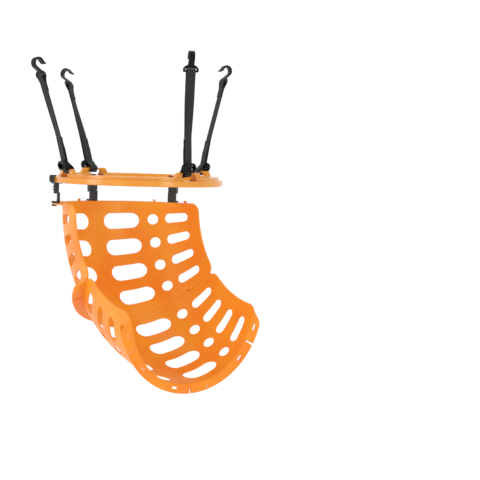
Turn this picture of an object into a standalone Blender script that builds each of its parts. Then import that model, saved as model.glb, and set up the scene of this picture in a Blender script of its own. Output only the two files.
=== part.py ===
"""Basketball return chute that hangs under a hoop.

A ring on four adjustable webbing straps takes the ball as it drops, and a bent half-pipe
chute under the ring turns it out to the front.  The chute hangs from three clamps that
ride on the ring's outer rail, so it can be turned to any side.

Frame: metres, +Z up.  The origin is the ring's centre, on the swivel axis, level with the
middle of the ring's outer rail.  The chute opens toward -Y; +Y is its back.
Azimuths (phi) run from +Y toward +X.
"""
import math

import bmesh
import bpy
import numpy as np
from mathutils import Matrix, Vector

MM = 0.001

# ---------------------------------------------------------------- driving dimensions (mm)
RING_OUTER = 180.0          # outer rail
RING_TIER = 172.0           # outside of the raised inner tier
RING_INNER = 150.0          # the ball's way through
RAIL_BOTTOM = -7.5
RAIL_TOP = 5.0
TIER_TOP = 12.0
RING_STEPS = 60

LUG_R = 163.0
LUG_THICK = 8.4
LUG_TOP = 22.5
LUG_BAR = 3.5               # height of the bar over the window
LUG_BASE_HALF = 37.0
LUG_TOP_HALF = 29.0
LUG_WINDOW_HALF = 17.0
WINDOW_SILL = 5.2           # the windows go down through the tier to the rail
BAR_Z = LUG_TOP - LUG_BAR / 2

# The chute: a half pipe bent about an axis along X, squashed a little in height.
WALL_KNOTS = ((0.0, 158.8), (25.0, 162.2), (50.0, 159.3), (75.0, 156.8), (105.0, 164.6))
WALL_R0 = 160.0
BEND_R = 217.8              # distance from the pipe's centreline to the bend axis
TOP_Z = -51.2               # plane of the chute's top flange
SQUASH = 0.949
FREE_EDGE = 91.0            # azimuth of the chute's free edges, degrees
PANEL_BEND = 43.56          # bend of one panel, degrees
WALL = 3.0
FLANGE = 2.6
FLANGE_R = 183.0
CORNER = 20.0
SPLIT = 0.2                 # half the gap between left and right panels
SEAM = 0.0007               # half the gap between upper and lower panels, radians
RIB = 9.0                   # turned-out rib along the back joint
RIB_THICK = 2.4

ROW_FIRST = 7.29            # hole rows, degrees of bend
ROW_PITCH = 9.677
ROWS = 4
# azimuth, half length as degrees of azimuth (0 for a round hole), half width in mm
HOLES = ((21.7, 14.5, 18.2), (47.4, 0.0, 12.2), (68.6, 10.9, 10.3))
# T tabs on the upper flange, slots in the lower one; the right panels have one fewer
TABS = {"left": (13.5, 45.5, 74.0), "right": (48.0, 74.0)}
TAB_R = 171.0
SLOT_R = (168.3, 173.7)
SLOT_HALF = 7.0
SLIT = (15.0, 1.1, 170.5, 180.0)   # right panels, lower flange: azimuth, half width, radii
# notches in the flanges: azimuth and outline as (half width, radius), rim to apex
NOTCHES = ((0.0, ((1.9, 186.0), (1.7, 176.0), (0.0, 167.5))),
           (62.0, ((1.8, 186.0), (1.8, 164.2))))

CLAMPS = (("left", -62.0), ("back", 0.0), ("right", 62.0))
CLAMP_WIDTH = 20.0

WEB = 1.5                   # webbing thickness
WEB_WIDTH = 20.0
LOOP_R = 7.5                # webbing's loop on the lug's bar, centreline
SPREAD = 3.8                # tail behind the run where the slider's bar goes between them
LAYER = 2.3                 # tail behind the run above that
MEET = 18.0                 # height over the bar where the loop's back leg joins the run
HEM_LAYER = 0.9
EYE_R = 4.1                 # webbing's loop on the hook's bar, centreline
SLIDER_RISE = 11.0          # slider's centre up the front leg, from where it leaves the loop
TAIL_END = 72.0
# name, lug azimuth, sideways shift on the bar, slot centre of its hook,
# turn of the webbing about its own length at the slider and at the hook
STRAPS = (
    ("a", -79.0, -4.5, (-229.1, 34.1, 215.0), 7.5, 15.0),
    ("b", -2.0, -5.5, (-19.1, 250.2, 207.4), 5.0, 24.0),
    ("c", 178.0, 5.0, (-19.6, -197.5, 233.1), 4.0, -33.0),
    ("d", 91.0, 0.0, (227.8, 3.6, 221.8), -8.0, -8.0),
)
SLOT_ABOVE_BAR = 4.5        # hook: slot centre above the centre of its lower bar

ORANGE = (0.90, 0.235, 0.022, 1.0)
BLACK = (0.020, 0.020, 0.022, 1.0)
GREY = (0.075, 0.075, 0.078, 1.0)

# ---------------------------------------------------------------- scene
for old in list(bpy.data.objects):
    bpy.data.objects.remove(old, do_unlink=True)

root = bpy.context.scene.collection
parts = bpy.data.collections.new("basketball_return_net")
cutters = bpy.data.collections.new("cutters")
root.children.link(parts)
root.children.link(cutters)


def material(name, color, roughness, metallic=0.0):
    mat = bpy.data.materials.new(name)
    mat.use_nodes = True
    bsdf = mat.node_tree.nodes["Principled BSDF"]
    bsdf.inputs["Base Color"].default_value = color
    bsdf.inputs["Roughness"].default_value = roughness
    bsdf.inputs["Metallic"].default_value = metallic
    return mat


def evaluated_mesh(obj):
    bpy.context.view_layer.update()
    graph = bpy.context.evaluated_depsgraph_get()
    return bpy.data.meshes.new_from_object(obj.evaluated_get(graph))


def link(name, mesh, collection=None):
    obj = bpy.data.objects.new(name, mesh)
    (collection or parts).objects.link(obj)
    return obj


def finish(obj, mat, angle=35.0):
    obj.data.materials.clear()
    obj.data.materials.append(mat)
    obj.data.shade_smooth()
    obj.data.set_sharp_from_angle(angle=math.radians(angle))


def outline_mesh(loops, low, high):
    """A flat outline (first loop) with holes (the others), extruded from z=low to z=high."""
    curve = bpy.data.curves.new("outline", "CURVE")
    curve.dimensions = "2D"
    curve.fill_mode = "BOTH"
    curve.extrude = (high - low) / 2
    for loop in loops:
        spline = curve.splines.new("POLY")
        spline.points.add(len(loop) - 1)
        for point, (x, y) in zip(spline.points, loop):
            point.co = (x, y, 0.0, 1.0)
        spline.use_cyclic_u = True
    obj = link("outline", curve, cutters)
    mesh = evaluated_mesh(obj)
    bpy.data.objects.remove(obj, do_unlink=True)
    bpy.data.curves.remove(curve)
    bm = bmesh.new()
    bm.from_mesh(mesh)
    bmesh.ops.remove_doubles(bm, verts=bm.verts, dist=1e-6)
    bmesh.ops.translate(bm, verts=bm.verts, vec=(0, 0, (low + high) / 2))
    bmesh.ops.recalc_face_normals(bm, faces=bm.faces)
    bm.to_mesh(mesh)
    bm.free()
    return mesh


def box_mesh(low, high):
    low, high = Vector(low), Vector(high)
    bm = bmesh.new()
    bmesh.ops.create_cube(bm, size=1.0)
    size = high - low
    bmesh.ops.scale(bm, vec=size, verts=bm.verts)
    bmesh.ops.translate(bm, vec=(low + high) / 2, verts=bm.verts)
    mesh = bpy.data.meshes.new("box")
    bm.to_mesh(mesh)
    bm.free()
    return mesh


def combined(mesh, tools):
    """Apply a list of (operation, mesh) exact Booleans to a mesh and return the result."""
    for operation, tool_mesh in tools:
        obj = link("work", mesh, cutters)
        tool = link("tool", tool_mesh, cutters)
        mod = obj.modifiers.new("cut", "BOOLEAN")
        mod.operation = operation
        mod.solver = "EXACT"
        mod.object = tool
        mesh = evaluated_mesh(obj)
        bpy.data.objects.remove(obj, do_unlink=True)
        bpy.data.objects.remove(tool, do_unlink=True)
    bm = bmesh.new()
    bm.from_mesh(mesh)
    bmesh.ops.remove_doubles(bm, verts=bm.verts, dist=2e-6)
    bmesh.ops.dissolve_degenerate(bm, edges=bm.edges, dist=1e-6)
    bm.to_mesh(mesh)
    bm.free()
    return mesh


def turned(mesh, matrix):
    mesh.transform(matrix)
    if matrix.determinant() < 0:
        mesh.flip_normals()
    return mesh


# Matrices that stand an outline drawn in (x, y) up into other planes.
XZ_PLANE = Matrix(((1, 0, 0, 0), (0, 0, -1, 0), (0, 1, 0, 0), (0, 0, 0, 1)))   # x, y -> x, z
YZ_PLANE = Matrix(((0, 0, 1, 0), (1, 0, 0, 0), (0, 1, 0, 0), (0, 0, 0, 1)))    # x, y -> y, z


def mm_loop(points):
    return [(x * MM, y * MM) for x, y in points]


def rounded(points, radius, steps=3):
    """Round every corner of a closed polygon; radius may be one number or one per corner."""
    count = len(points)
    radii = radius if isinstance(radius, (list, tuple)) else [radius] * count
    out = []
    for i, r in enumerate(radii):
        p = Vector(points[i])
        a = Vector(points[i - 1]) - p
        b = Vector(points[(i + 1) % count]) - p
        if r <= 0:
            out.append(tuple(p))
            continue
        half = a.angle(b) / 2
        cut = min(r / math.tan(half), 0.49 * a.length, 0.49 * b.length)
        r = cut * math.tan(half)
        a.normalize()
        b.normalize()
        centre = p + (a + b).normalized() * (r / math.sin(half))
        start = p + a * cut - centre
        end = p + b * cut - centre
        turn = start.angle_signed(end)
        for k in range(steps + 1):
            spin = -turn * k / steps
            c, s = math.cos(spin), math.sin(spin)
            out.append((centre.x + c * start.x - s * start.y,
                        centre.y + s * start.x + c * start.y))
    return out


def around(phi):
    """Rotation that carries the back (+Y) direction to azimuth phi (degrees)."""
    return Matrix.Rotation(-math.radians(phi), 4, "Z")


orange = material("orange_plastic", ORANGE, 0.30)
ring_orange = material("ring_plastic", ORANGE, 0.28)
black = material("black_plastic", BLACK, 0.32)
grey = material("grey_plastic", GREY, 0.45)
webbing = material("webbing", (0.055, 0.055, 0.058, 1.0), 0.85)

# ---------------------------------------------------------------- ring
# Section, down the outer side and back up the inner one.  The ring is a channel, open
# below between the inner wall and the rail.
section = [(171.2, TIER_TOP), (RING_TIER, 11.2), (RING_TIER, RAIL_TOP), (178.6, RAIL_TOP),
           (RING_OUTER, 3.6), (RING_OUTER, RAIL_BOTTOM + 1.4), (178.6, RAIL_BOTTOM),
           (169.0, RAIL_BOTTOM),
           (169.0, 8.8), (153.0, 8.8), (153.0, RAIL_BOTTOM), (150.8, RAIL_BOTTOM),
           (RING_INNER, RAIL_BOTTOM + 0.8), (RING_INNER, 11.2), (150.8, TIER_TOP)]
mesh = bpy.data.meshes.new("ring")
bm = bmesh.new()
verts = [bm.verts.new((r * MM, 0.0, z * MM)) for r, z in section]
for i in range(len(verts)):
    bm.edges.new((verts[i], verts[(i + 1) % len(verts)]))
bm.to_mesh(mesh)
bm.free()
ring = link("ring", mesh)
screw = ring.modifiers.new("turn", "SCREW")
screw.axis = "Z"
screw.angle = math.tau
screw.steps = RING_STEPS
screw.render_steps = RING_STEPS
screw.use_merge_vertices = True
screw.merge_threshold = 0.0001

# Lugs: trapezoid posts with a window that goes down through the tier; the bar on top
# carries the webbing, and a floor closes the channel under the window.
lug_outline = rounded([(-LUG_BASE_HALF, 10.0), (LUG_BASE_HALF, 10.0),
                       (LUG_TOP_HALF, LUG_TOP), (-LUG_TOP_HALF, LUG_TOP)], [0, 0, 5, 5])
lug_mesh = turned(outline_mesh([mm_loop(lug_outline)], -LUG_THICK / 2 * MM,
                               LUG_THICK / 2 * MM), XZ_PLANE)
turned(lug_mesh, Matrix.Translation((0, LUG_R * MM, 0)))
floor_mesh = box_mesh((-20 * MM, 151.5 * MM, 2.0 * MM),
                      (20 * MM, 170.5 * MM, (WINDOW_SILL + 0.4) * MM))
window_outline = rounded([(-LUG_WINDOW_HALF, WINDOW_SILL), (LUG_WINDOW_HALF, WINDOW_SILL),
                          (LUG_WINDOW_HALF, LUG_TOP - LUG_BAR),
                          (-LUG_WINDOW_HALF, LUG_TOP - LUG_BAR)], [0, 0, 2, 2])
window_mesh = turned(outline_mesh([mm_loop(window_outline)], -176 * MM, -146 * MM), XZ_PLANE)
slot_mesh = box_mesh((-6.8 * MM, 146 * MM, WINDOW_SILL * MM), (6.8 * MM, 176 * MM, 10.4 * MM))
SLOT_PHI = 64.0


def shape_ring(name, tool_mesh, phi, operation):
    tool = link(name, tool_mesh, cutters)
    tool.matrix_world = around(phi)
    tool.hide_render = True
    tool.display_type = "WIRE"
    mod = ring.modifiers.new(name, "BOOLEAN")
    mod.operation = operation
    mod.solver = "EXACT"
    mod.object = tool


for name, phi, shift, slot, low_turn, top_turn in STRAPS:
    shape_ring("lug_" + name, lug_mesh, phi, "UNION")
    shape_ring("floor_" + name, floor_mesh, phi, "UNION")
for name, phi, shift, slot, low_turn, top_turn in STRAPS:
    shape_ring("window_" + name, window_mesh, phi, "DIFFERENCE")
shape_ring("tier_slot", slot_mesh, SLOT_PHI, "DIFFERENCE")
finish(ring, ring_orange)

# ---------------------------------------------------------------- chute panels


def spline_through(knots):
    """Natural cubic spline through (x, y) knots, as a function."""
    x = np.array([k[0] for k in knots])
    y = np.array([k[1] for k in knots])
    n = len(x)
    h = np.diff(x)
    a = np.zeros((n, n))
    b = np.zeros(n)
    a[0, 0] = a[-1, -1] = 1.0
    for i in range(1, n - 1):
        a[i, i - 1], a[i, i], a[i, i + 1] = h[i - 1], 2 * (h[i - 1] + h[i]), h[i]
        b[i] = 6 * ((y[i + 1] - y[i]) / h[i] - (y[i] - y[i - 1]) / h[i - 1])
    m = np.linalg.solve(a, b)

    def value(t):
        i = min(max(int(np.searchsorted(x, t)) - 1, 0), n - 2)
        u, v = x[i + 1] - t, t - x[i]
        return float((m[i] * u ** 3 + m[i + 1] * v ** 3) / (6 * h[i])
                     + (y[i] / h[i] - m[i] * h[i] / 6) * u
                     + (y[i + 1] / h[i] - m[i + 1] * h[i] / 6) * v)
    return value


wall_radius = spline_through(WALL_KNOTS)


def chute_point(phi, r, beta):
    """Point of the bent pipe: azimuth (degrees), radius (mm), bend (radians) to metres."""
    p = math.radians(phi)
    rho = BEND_R + r * math.cos(p)
    return Vector((r * math.sin(p), -BEND_R + rho * math.cos(beta),
                   TOP_Z - SQUASH * rho * math.sin(beta))) * MM


# A panel is drawn flat and then bent.  Flat frame: x runs round the pipe (arc length at
# radius WALL_R0), y runs along the bend (FLAT_Y metres per radian), z is the height over
# the inner surface.
FLAT_Y = 300.0
BEND = math.radians(PANEL_BEND)


def along_x(phi):
    return math.radians(phi) * WALL_R0


def local_rho(x):
    return BEND_R + WALL_R0 * math.cos(x / WALL_R0)


def from_edge(x, y, bottom):
    """Flat position of a point y mm in from the upper (or lower) end of the panel."""
    turn = SEAM + y / local_rho(x)
    if bottom:
        turn = BEND - turn
    return (x * MM, turn * FLAT_Y * MM)


EDGE_X = along_x(FREE_EDGE)
CORNER_STEPS = 5
TAPER_START = along_x(76.0)
TAPER = 33.0                # the flange sinks into the wall before the free corner is round
GRID_PHI = FREE_EDGE / 10
GRID_ROWS = 5


def end_path(inset, corner_steps=CORNER_STEPS):
    """Flat path, in mm, of an end and as many steps of its rounded corner."""
    path = []
    phi = 0.0
    while along_x(phi) < EDGE_X - CORNER:
        path.append((max(along_x(phi), SPLIT), inset))
        phi += GRID_PHI / 2 if phi > 70 else GRID_PHI
    cx, cy = EDGE_X - CORNER, CORNER
    for k in range(corner_steps + 1):
        t = math.pi / 2 * k / CORNER_STEPS
        path.append((cx + (CORNER - inset) * math.sin(t), cy - (CORNER - inset) * math.cos(t)))
    return path


def flange_height(x, y):
    """Height of the turned-out flange over the inner surface at a point of the edge."""
    full = FLANGE_R - WALL_R0
    run = min(x, EDGE_X - CORNER) - TAPER_START
    if x > EDGE_X - CORNER:
        run += CORNER * math.atan2(x - (EDGE_X - CORNER), CORNER - y)
    t = min(max(run / TAPER, 0.0), 1.0)
    return full + (1.6 - full) * (t * t * (3 - 2 * t))


def flange_mesh(bottom):
    """The flange round one end: a band along the edge, raised to its tapering height."""
    outer = end_path(0.0, 2)
    inner = end_path(FLANGE, 2)
    bm = bmesh.new()
    rows = []
    for (xo, yo), (xi, yi) in zip(outer, inner):
        top = flange_height(xo, yo)
        quad = []
        for x, y in ((xo, yo), (xi, yi)):
            for z in (0.8, top):
                fx, fy = from_edge(x, y, bottom)
                quad.append(bm.verts.new((fx, fy, z * MM)))
        rows.append([quad[0], quad[1], quad[3], quad[2]])
    bm.faces.new(rows[0])
    bm.faces.new(rows[-1][::-1])
    for a, b in zip(rows, rows[1:]):
        for i in range(4):
            j = (i + 1) % 4
            bm.faces.new((a[j], a[i], b[i], b[j]))
    bmesh.ops.recalc_face_normals(bm, faces=bm.faces)
    mesh = bpy.data.meshes.new("flange")
    bm.to_mesh(mesh)
    bm.free()
    return mesh


def hole_loop(phi, half_length, half_width, beta_deg, arc_steps=4):
    """Outline of one hole: round, or an oblong with round ends along the pipe's round."""
    rho = BEND_R + wall_radius(phi) * math.cos(math.radians(phi))
    straight = max(0.0, math.radians(half_length) * wall_radius(phi) - half_width)
    loop = []
    for side in (1, -1):
        for k in range(arc_steps + 1):
            t = -math.pi / 2 + math.pi * k / arc_steps
            dx = side * (straight + half_width * math.cos(t))
            dy = side * half_width * math.sin(t)
            loop.append(((along_x(phi) + dx * WALL_R0 / wall_radius(phi)) * MM,
                         (math.radians(beta_deg) + dy / rho) * FLAT_Y * MM))
        if straight == 0.0:
            loop.pop()
    return loop


def panel_mesh(lower, left):
    """One panel, drawn flat, pierced, flanged and bent into place."""
    outline = [from_edge(SPLIT, 0, False), from_edge(EDGE_X - CORNER, 0, False)]
    corner = end_path(0.0)[-(CORNER_STEPS + 1):]
    outline += [from_edge(x, y, False) for x, y in corner[1:]]
    outline += [from_edge(x, y, True) for x, y in reversed(corner)]
    outline += [from_edge(SPLIT, 0, True)]
    loops = [outline]
    for row in range(ROWS):
        beta = ROW_FIRST + ROW_PITCH * row
        for phi, half_length, half_width in HOLES:
            loops.append(hole_loop(phi, half_length, half_width, beta))
    plate = outline_mesh(loops, 0.0, WALL * MM)

    tools = [("UNION", flange_mesh(False)), ("UNION", flange_mesh(True))]
    # Rib along the joint at the back.
    low = from_edge(SPLIT, 1.0, False)
    high = from_edge(SPLIT + RIB_THICK, 1.0, True)
    tools.append(("UNION", box_mesh((low[0], low[1], 1.2 * MM), (high[0], high[1], RIB * MM))))
    # T tabs stand on the upper flange.
    for phi in TABS["left" if left else "right"]:
        wide = WALL_R0 / TAB_R
        long = FLAT_Y / (BEND_R + TAB_R * math.cos(math.radians(phi)))
        tee = [(-2.0, 1.4), (-2.0, -3.0), (-5.0, -3.4), (-5.0, -5.2), (-1.6, -5.2), (0, -4.2),
               (1.6, -5.2), (5.0, -5.2), (5.0, -3.4), (2.0, -3.0), (2.0, 1.4)]
        loop = [((along_x(phi) + x * wide) * MM, (SEAM * FLAT_Y + y * long) * MM)
                for x, y in tee]
        tools.append(("UNION", outline_mesh([loop], (TAB_R - 1.75 - WALL_R0) * MM,
                                            (TAB_R + 1.75 - WALL_R0) * MM)))
        # The matching slot in the lower flange.
        half = SLOT_HALF * wide
        end = BEND * FLAT_Y
        tools.append(("DIFFERENCE", box_mesh(
            ((along_x(phi) - half) * MM, (end - 4.6 * long) * MM, (SLOT_R[0] - WALL_R0) * MM),
            ((along_x(phi) + half) * MM, (end + 2.0) * MM, (SLOT_R[1] - WALL_R0) * MM))))
    if not left:
        phi, half, r_low, r_high = SLIT
        tools.append(("DIFFERENCE", box_mesh(
            ((along_x(phi) - half) * MM, (BEND * FLAT_Y - 4.6) * MM, (r_low - WALL_R0) * MM),
            ((along_x(phi) + half) * MM, (BEND * FLAT_Y + 2.0) * MM, (r_high - WALL_R0) * MM))))
    # Notches, open at the flange's rim, take the hangers' necks.
    for phi, notch in NOTCHES:
        right = [((along_x(phi) + half) * MM, (r - WALL_R0) * MM) for half, r in notch]
        left_side = [((along_x(phi) - half) * MM, (r - WALL_R0) * MM)
                     for half, r in reversed(notch) if half > 0]
        for bottom in (False, True):
            vee = turned(outline_mesh([right + left_side], -6 * MM, 6 * MM), XZ_PLANE)
            where = from_edge(along_x(phi), FLANGE / 2, bottom)[1]
            tools.append(("DIFFERENCE", turned(vee, Matrix.Translation((0, where, 0)))))
    mesh = combined(plate, tools)

    # Cut the flat panel into strips so that it can bend, then bend it.
    bm = bmesh.new()
    bm.from_mesh(mesh)
    phi = GRID_PHI
    while phi < FREE_EDGE - 1:
        geom = bm.verts[:] + bm.edges[:] + bm.faces[:]
        bmesh.ops.bisect_plane(bm, geom=geom, dist=1e-6, plane_co=(along_x(phi) * MM, 0, 0),
                               plane_no=(1, 0, 0))
        phi += GRID_PHI
    for k in range(1, GRID_ROWS):
        geom = bm.verts[:] + bm.edges[:] + bm.faces[:]
        bmesh.ops.bisect_plane(bm, geom=geom, dist=1e-6,
                               plane_co=(0, BEND * FLAT_Y * MM * k / GRID_ROWS, 0),
                               plane_no=(0, 1, 0))
    bmesh.ops.triangulate(bm, faces=bm.faces, quad_method="BEAUTY", ngon_method="BEAUTY")
    start = BEND if lower else 0.0
    for vert in bm.verts:
        phi = math.degrees(vert.co.x / MM / WALL_R0)
        height = vert.co.z / MM
        blend = min(max((height - 4.0) / 14.0, 0.0), 1.0)
        base = wall_radius(phi) * (1 - blend) + WALL_R0 * blend
        vert.co = chute_point(-phi if left else phi, base + height,
                              start + vert.co.y / MM / FLAT_Y)
    if left:
        bmesh.ops.reverse_faces(bm, faces=bm.faces)
    bmesh.ops.remove_doubles(bm, verts=bm.verts, dist=2e-6)
    mesh = bpy.data.meshes.new("panel")
    bm.to_mesh(mesh)
    bm.free()
    return mesh


swivel = bpy.data.objects.new("chute_swivel", None)
parts.objects.link(swivel)

for lower in (False, True):
    for left in (True, False):
        name = "panel_%s_%s" % ("lower" if lower else "upper", "left" if left else "right")
        panel = link(name, panel_mesh(lower, left))
        panel.parent = swivel
        finish(panel, orange)

# ---------------------------------------------------------------- gliders and hangers
# Drawn in the radius-height plane, extruded across, and turned to each azimuth.
glider_profile = [
    (175.7, 7.8), (188.4, 7.8), (190.0, 6.2), (190.0, -5.0), (185.4, -10.0), (180.6, -10.0),
    (180.6, -14.9), (183.0, -16.2), (183.0, -17.2), (180.6, -18.5), (180.6, -20.9),
    (183.0, -22.2), (183.0, -23.2), (180.6, -24.5), (180.6, -30.3), (179.2, -31.5),
    (175.9, -31.5), (175.9, -28.4), (170.3, -28.4), (170.3, -9.9), (162.5, -9.9),
    (162.5, -7.85), (180.8, -7.85), (180.8, 5.35), (175.7, 5.35)]
half = CLAMP_WIDTH / 2
glider = turned(outline_mesh([mm_loop(glider_profile)], -half * MM, half * MM), YZ_PLANE)
socket = box_mesh((-7.1 * MM, 171.5 * MM, -30 * MM), (7.1 * MM, 174.5 * MM, -14 * MM))
glider_mesh = combined(glider, [("DIFFERENCE", socket)])

FOOT_BOTTOM = TOP_Z + 0.1
hanger_profile = [
    (168.0, FOOT_BOTTOM), (185.0, FOOT_BOTTOM), (185.0, FOOT_BOTTOM + 2.6),
    (184.1, FOOT_BOTTOM + 3.5), (174.6, FOOT_BOTTOM + 3.5), (173.5, FOOT_BOTTOM + 4.6),
    (173.5, -31.4), (175.2, -30.4), (175.2, -28.8), (168.8, -28.8), (168.0, -29.6)]
leg = turned(outline_mesh([mm_loop(hanger_profile)], -9.6 * MM, 9.6 * MM), YZ_PLANE)
tongue = box_mesh((-6.7 * MM, 171.8 * MM, -30.0 * MM), (6.7 * MM, 174.2 * MM, -15.0 * MM))
barb_top = TOP_Z - FLANGE - 0.7
neck = box_mesh((-1.35 * MM, 176.4 * MM, (barb_top - 1.2) * MM),
                (1.35 * MM, 182.4 * MM, (FOOT_BOTTOM + 1.0) * MM))
barb_profile = rounded([(-6.2, barb_top - 3.4), (6.2, barb_top - 3.4), (6.2, barb_top),
                        (-6.2, barb_top)], [1.6, 1.6, 0, 0], 2)
barb = turned(outline_mesh([mm_loop(barb_profile)], -5.2 * MM, 5.2 * MM), XZ_PLANE)
turned(barb, Matrix.Translation((0, 179.0 * MM, 0)))
bm = bmesh.new()
bmesh.ops.create_cone(bm, cap_ends=True, segments=20, radius1=5.4 * MM, radius2=5.4 * MM,
                      depth=4.0 * MM, matrix=Matrix.Translation((0, 166.8 * MM, -39.0 * MM))
                      @ Matrix.Rotation(math.pi / 2, 4, "X"))
dimple = bpy.data.meshes.new("dimple")
bm.to_mesh(dimple)
bm.free()
hanger_mesh = combined(leg, [("UNION", tongue), ("UNION", neck), ("UNION", barb),
                             ("DIFFERENCE", dimple)])

for side, phi in CLAMPS:
    for kind, shape in (("glider_", glider_mesh), ("hanger_", hanger_mesh)):
        obj = link(kind + side, shape)
        obj.parent = swivel
        obj.matrix_local = around(phi)
        finish(obj, grey)

# ---------------------------------------------------------------- straps, sliders, hooks


class Strap:
    """Frame of one strap: from its lug's bar up to the lower bar of its hook."""

    def __init__(self, phi, shift, slot, low_turn, top_turn):
        p = math.radians(phi)
        out = Vector((math.sin(p), math.cos(p), 0))
        side = Vector((math.cos(p), -math.sin(p), 0))
        self.foot = out * LUG_R + side * shift + Vector((0, 0, BAR_Z))
        reach = Vector(slot) - self.foot
        self.up = reach.normalized()
        self.length = reach.length - SLOT_ABOVE_BAR
        self.side = (side - self.up * side.dot(self.up)).normalized()
        self.low_turn = math.radians(low_turn)
        self.top_turn = math.radians(top_turn)
        self.eye = self.foot + self.up * self.length

    def turn(self, s):
        last = self.length - 34.0
        if s <= 66.0:
            return self.low_turn
        if s >= last:
            return self.top_turn
        t = (s - 66.0) / (last - 66.0)
        return self.low_turn + (self.top_turn - self.low_turn) * t * t * (3 - 2 * t)

    def axes(self, s):
        """Width, inward and up directions at height s."""
        wide = Matrix.Rotation(self.turn(s), 3, self.up) @ self.side
        return wide, wide.cross(self.up), self.up

    def frame(self, s):
        wide, inward, up = self.axes(s)
        at = (self.foot + self.up * s) * MM
        rot = Matrix((wide, inward, up)).transposed()
        return Matrix.Translation(at) @ rot.to_4x4()


def tangent_angle(point, radius, side):
    """Angle on a circle about the origin where the line from point touches it."""
    reach = math.hypot(*point)
    return math.atan2(point[1], point[0]) + side * math.acos(radius / reach)


def front_leg():
    """Where the run leaves the front of the loop, and its direction, as (inward, up)."""
    touch = math.pi - tangent_angle((HEM_LAYER, 78.0), LOOP_R, -1)
    leave = Vector((LOOP_R * math.cos(touch), LOOP_R * math.sin(touch)))
    return leave, (Vector((-HEM_LAYER, 78.0)) - leave).normalized()


def run_at(s):
    """Inward place of the run at height s."""
    leave, along = front_leg()
    return leave.x + along.x / along.y * (s - leave.y)


def webbing_path(length):
    """The webbing's centreline as (inward, up) points: tail, lug loop, run, hook loop, hem."""
    path = []

    def straight(a, b, step):
        count = max(1, round(math.dist(a, b) / step))
        for k in range(count):
            path.append((a[0] + (b[0] - a[0]) * k / count, a[1] + (b[1] - a[1]) * k / count))

    def arc(centre, radius, start, end, steps):
        for k in range(steps + 1):
            t = start + (end - start) * k / steps
            path.append((centre[0] + radius * math.cos(t), centre[1] + radius * math.sin(t)))

    leave, along = front_leg()
    join = (run_at(MEET) + SPREAD, MEET)
    touch = tangent_angle(join, LOOP_R, -1)
    tail = [(run_at(TAIL_END) + LAYER, TAIL_END), (run_at(58.0) + LAYER, 58.0),
            (run_at(47.0) + SPREAD, 47.0), join]
    for a, b in zip(tail, tail[1:]):
        straight(a, b, 16.0)
    straight(join, (LOOP_R * math.cos(touch), LOOP_R * math.sin(touch)), 20.0)
    arc((0, 0), LOOP_R, touch, math.atan2(leave.y, leave.x) - math.tau, 12)
    straight(tuple(leave), (-HEM_LAYER, 78.0), 13.0)
    straight((-HEM_LAYER, 78.0), (-HEM_LAYER, length - 14.0), 9.0)
    over = tangent_angle((-HEM_LAYER, -14.0), EYE_R, -1)
    start = (EYE_R * math.cos(over), length + EYE_R * math.sin(over))
    straight((-HEM_LAYER, length - 14.0), start, 5.0)
    arc((0, length), EYE_R, over + math.tau, -math.pi - over, 9)
    straight((-start[0], start[1]), (HEM_LAYER, length - 14.0), 5.0)
    straight((HEM_LAYER, length - 14.0), (HEM_LAYER, length - 32.0), 9.0)
    path.append((HEM_LAYER, length - 32.0))
    return path


# Slider: a domed oval frame in front of the webbing, with a bar behind it.  It lies on
# the front leg of the loop.  Its own frame: x along the width, y inward, z up the leg.
SLIDER_DOME = [(0.9, -10.5), (0.9, 10.5), (-4.2, 10.5), (-7.2, 7.4), (-8.0, 4.2), (-8.0, -4.2),
               (-7.2, -7.4), (-4.2, -10.5)]
slider_oval = rounded([(-19.0, -10.5), (19.0, -10.5), (19.0, 10.5), (-19.0, 10.5)], 9.0, 6)
slider = turned(outline_mesh([mm_loop(slider_oval)], -2.0 * MM, 9.0 * MM), XZ_PLANE)
dome = turned(outline_mesh([mm_loop(SLIDER_DOME)], -20 * MM, 20 * MM), YZ_PLANE)
channel = box_mesh((-10.6 * MM, -1.1 * MM, -12 * MM), (10.6 * MM, 3 * MM, 12 * MM))
window = turned(outline_mesh([mm_loop(rounded([(-12.8, -5.0), (12.8, -5.0), (12.8, 5.0),
                                               (-12.8, 5.0)], 2.5, 2))], -4 * MM, 10 * MM),
                XZ_PLANE)
bar = outline_mesh([mm_loop([(-15, -0.5), (-12.8, -0.5), (-12.8, 1.05), (12.8, 1.05),
                             (12.8, -0.5), (15, -0.5), (15, 2.7), (-15, 2.7)])],
                   -2.2 * MM, 2.2 * MM)
slider_mesh = combined(slider, [("INTERSECT", dome), ("DIFFERENCE", channel),
                                ("DIFFERENCE", window), ("UNION", bar)])


def slider_frame(strap):
    """Where the slider lies on its strap."""
    leave, along = front_leg()
    at = leave + along * SLIDER_RISE
    wide, inward, up = strap.axes(at.y)
    leg = inward * along.x + up * along.y
    face = inward * along.y - up * along.x
    where = (strap.foot + inward * at.x + up * at.y) * MM
    return Matrix.Translation(where) @ Matrix((wide, face, leg)).transposed().to_4x4()


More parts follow.
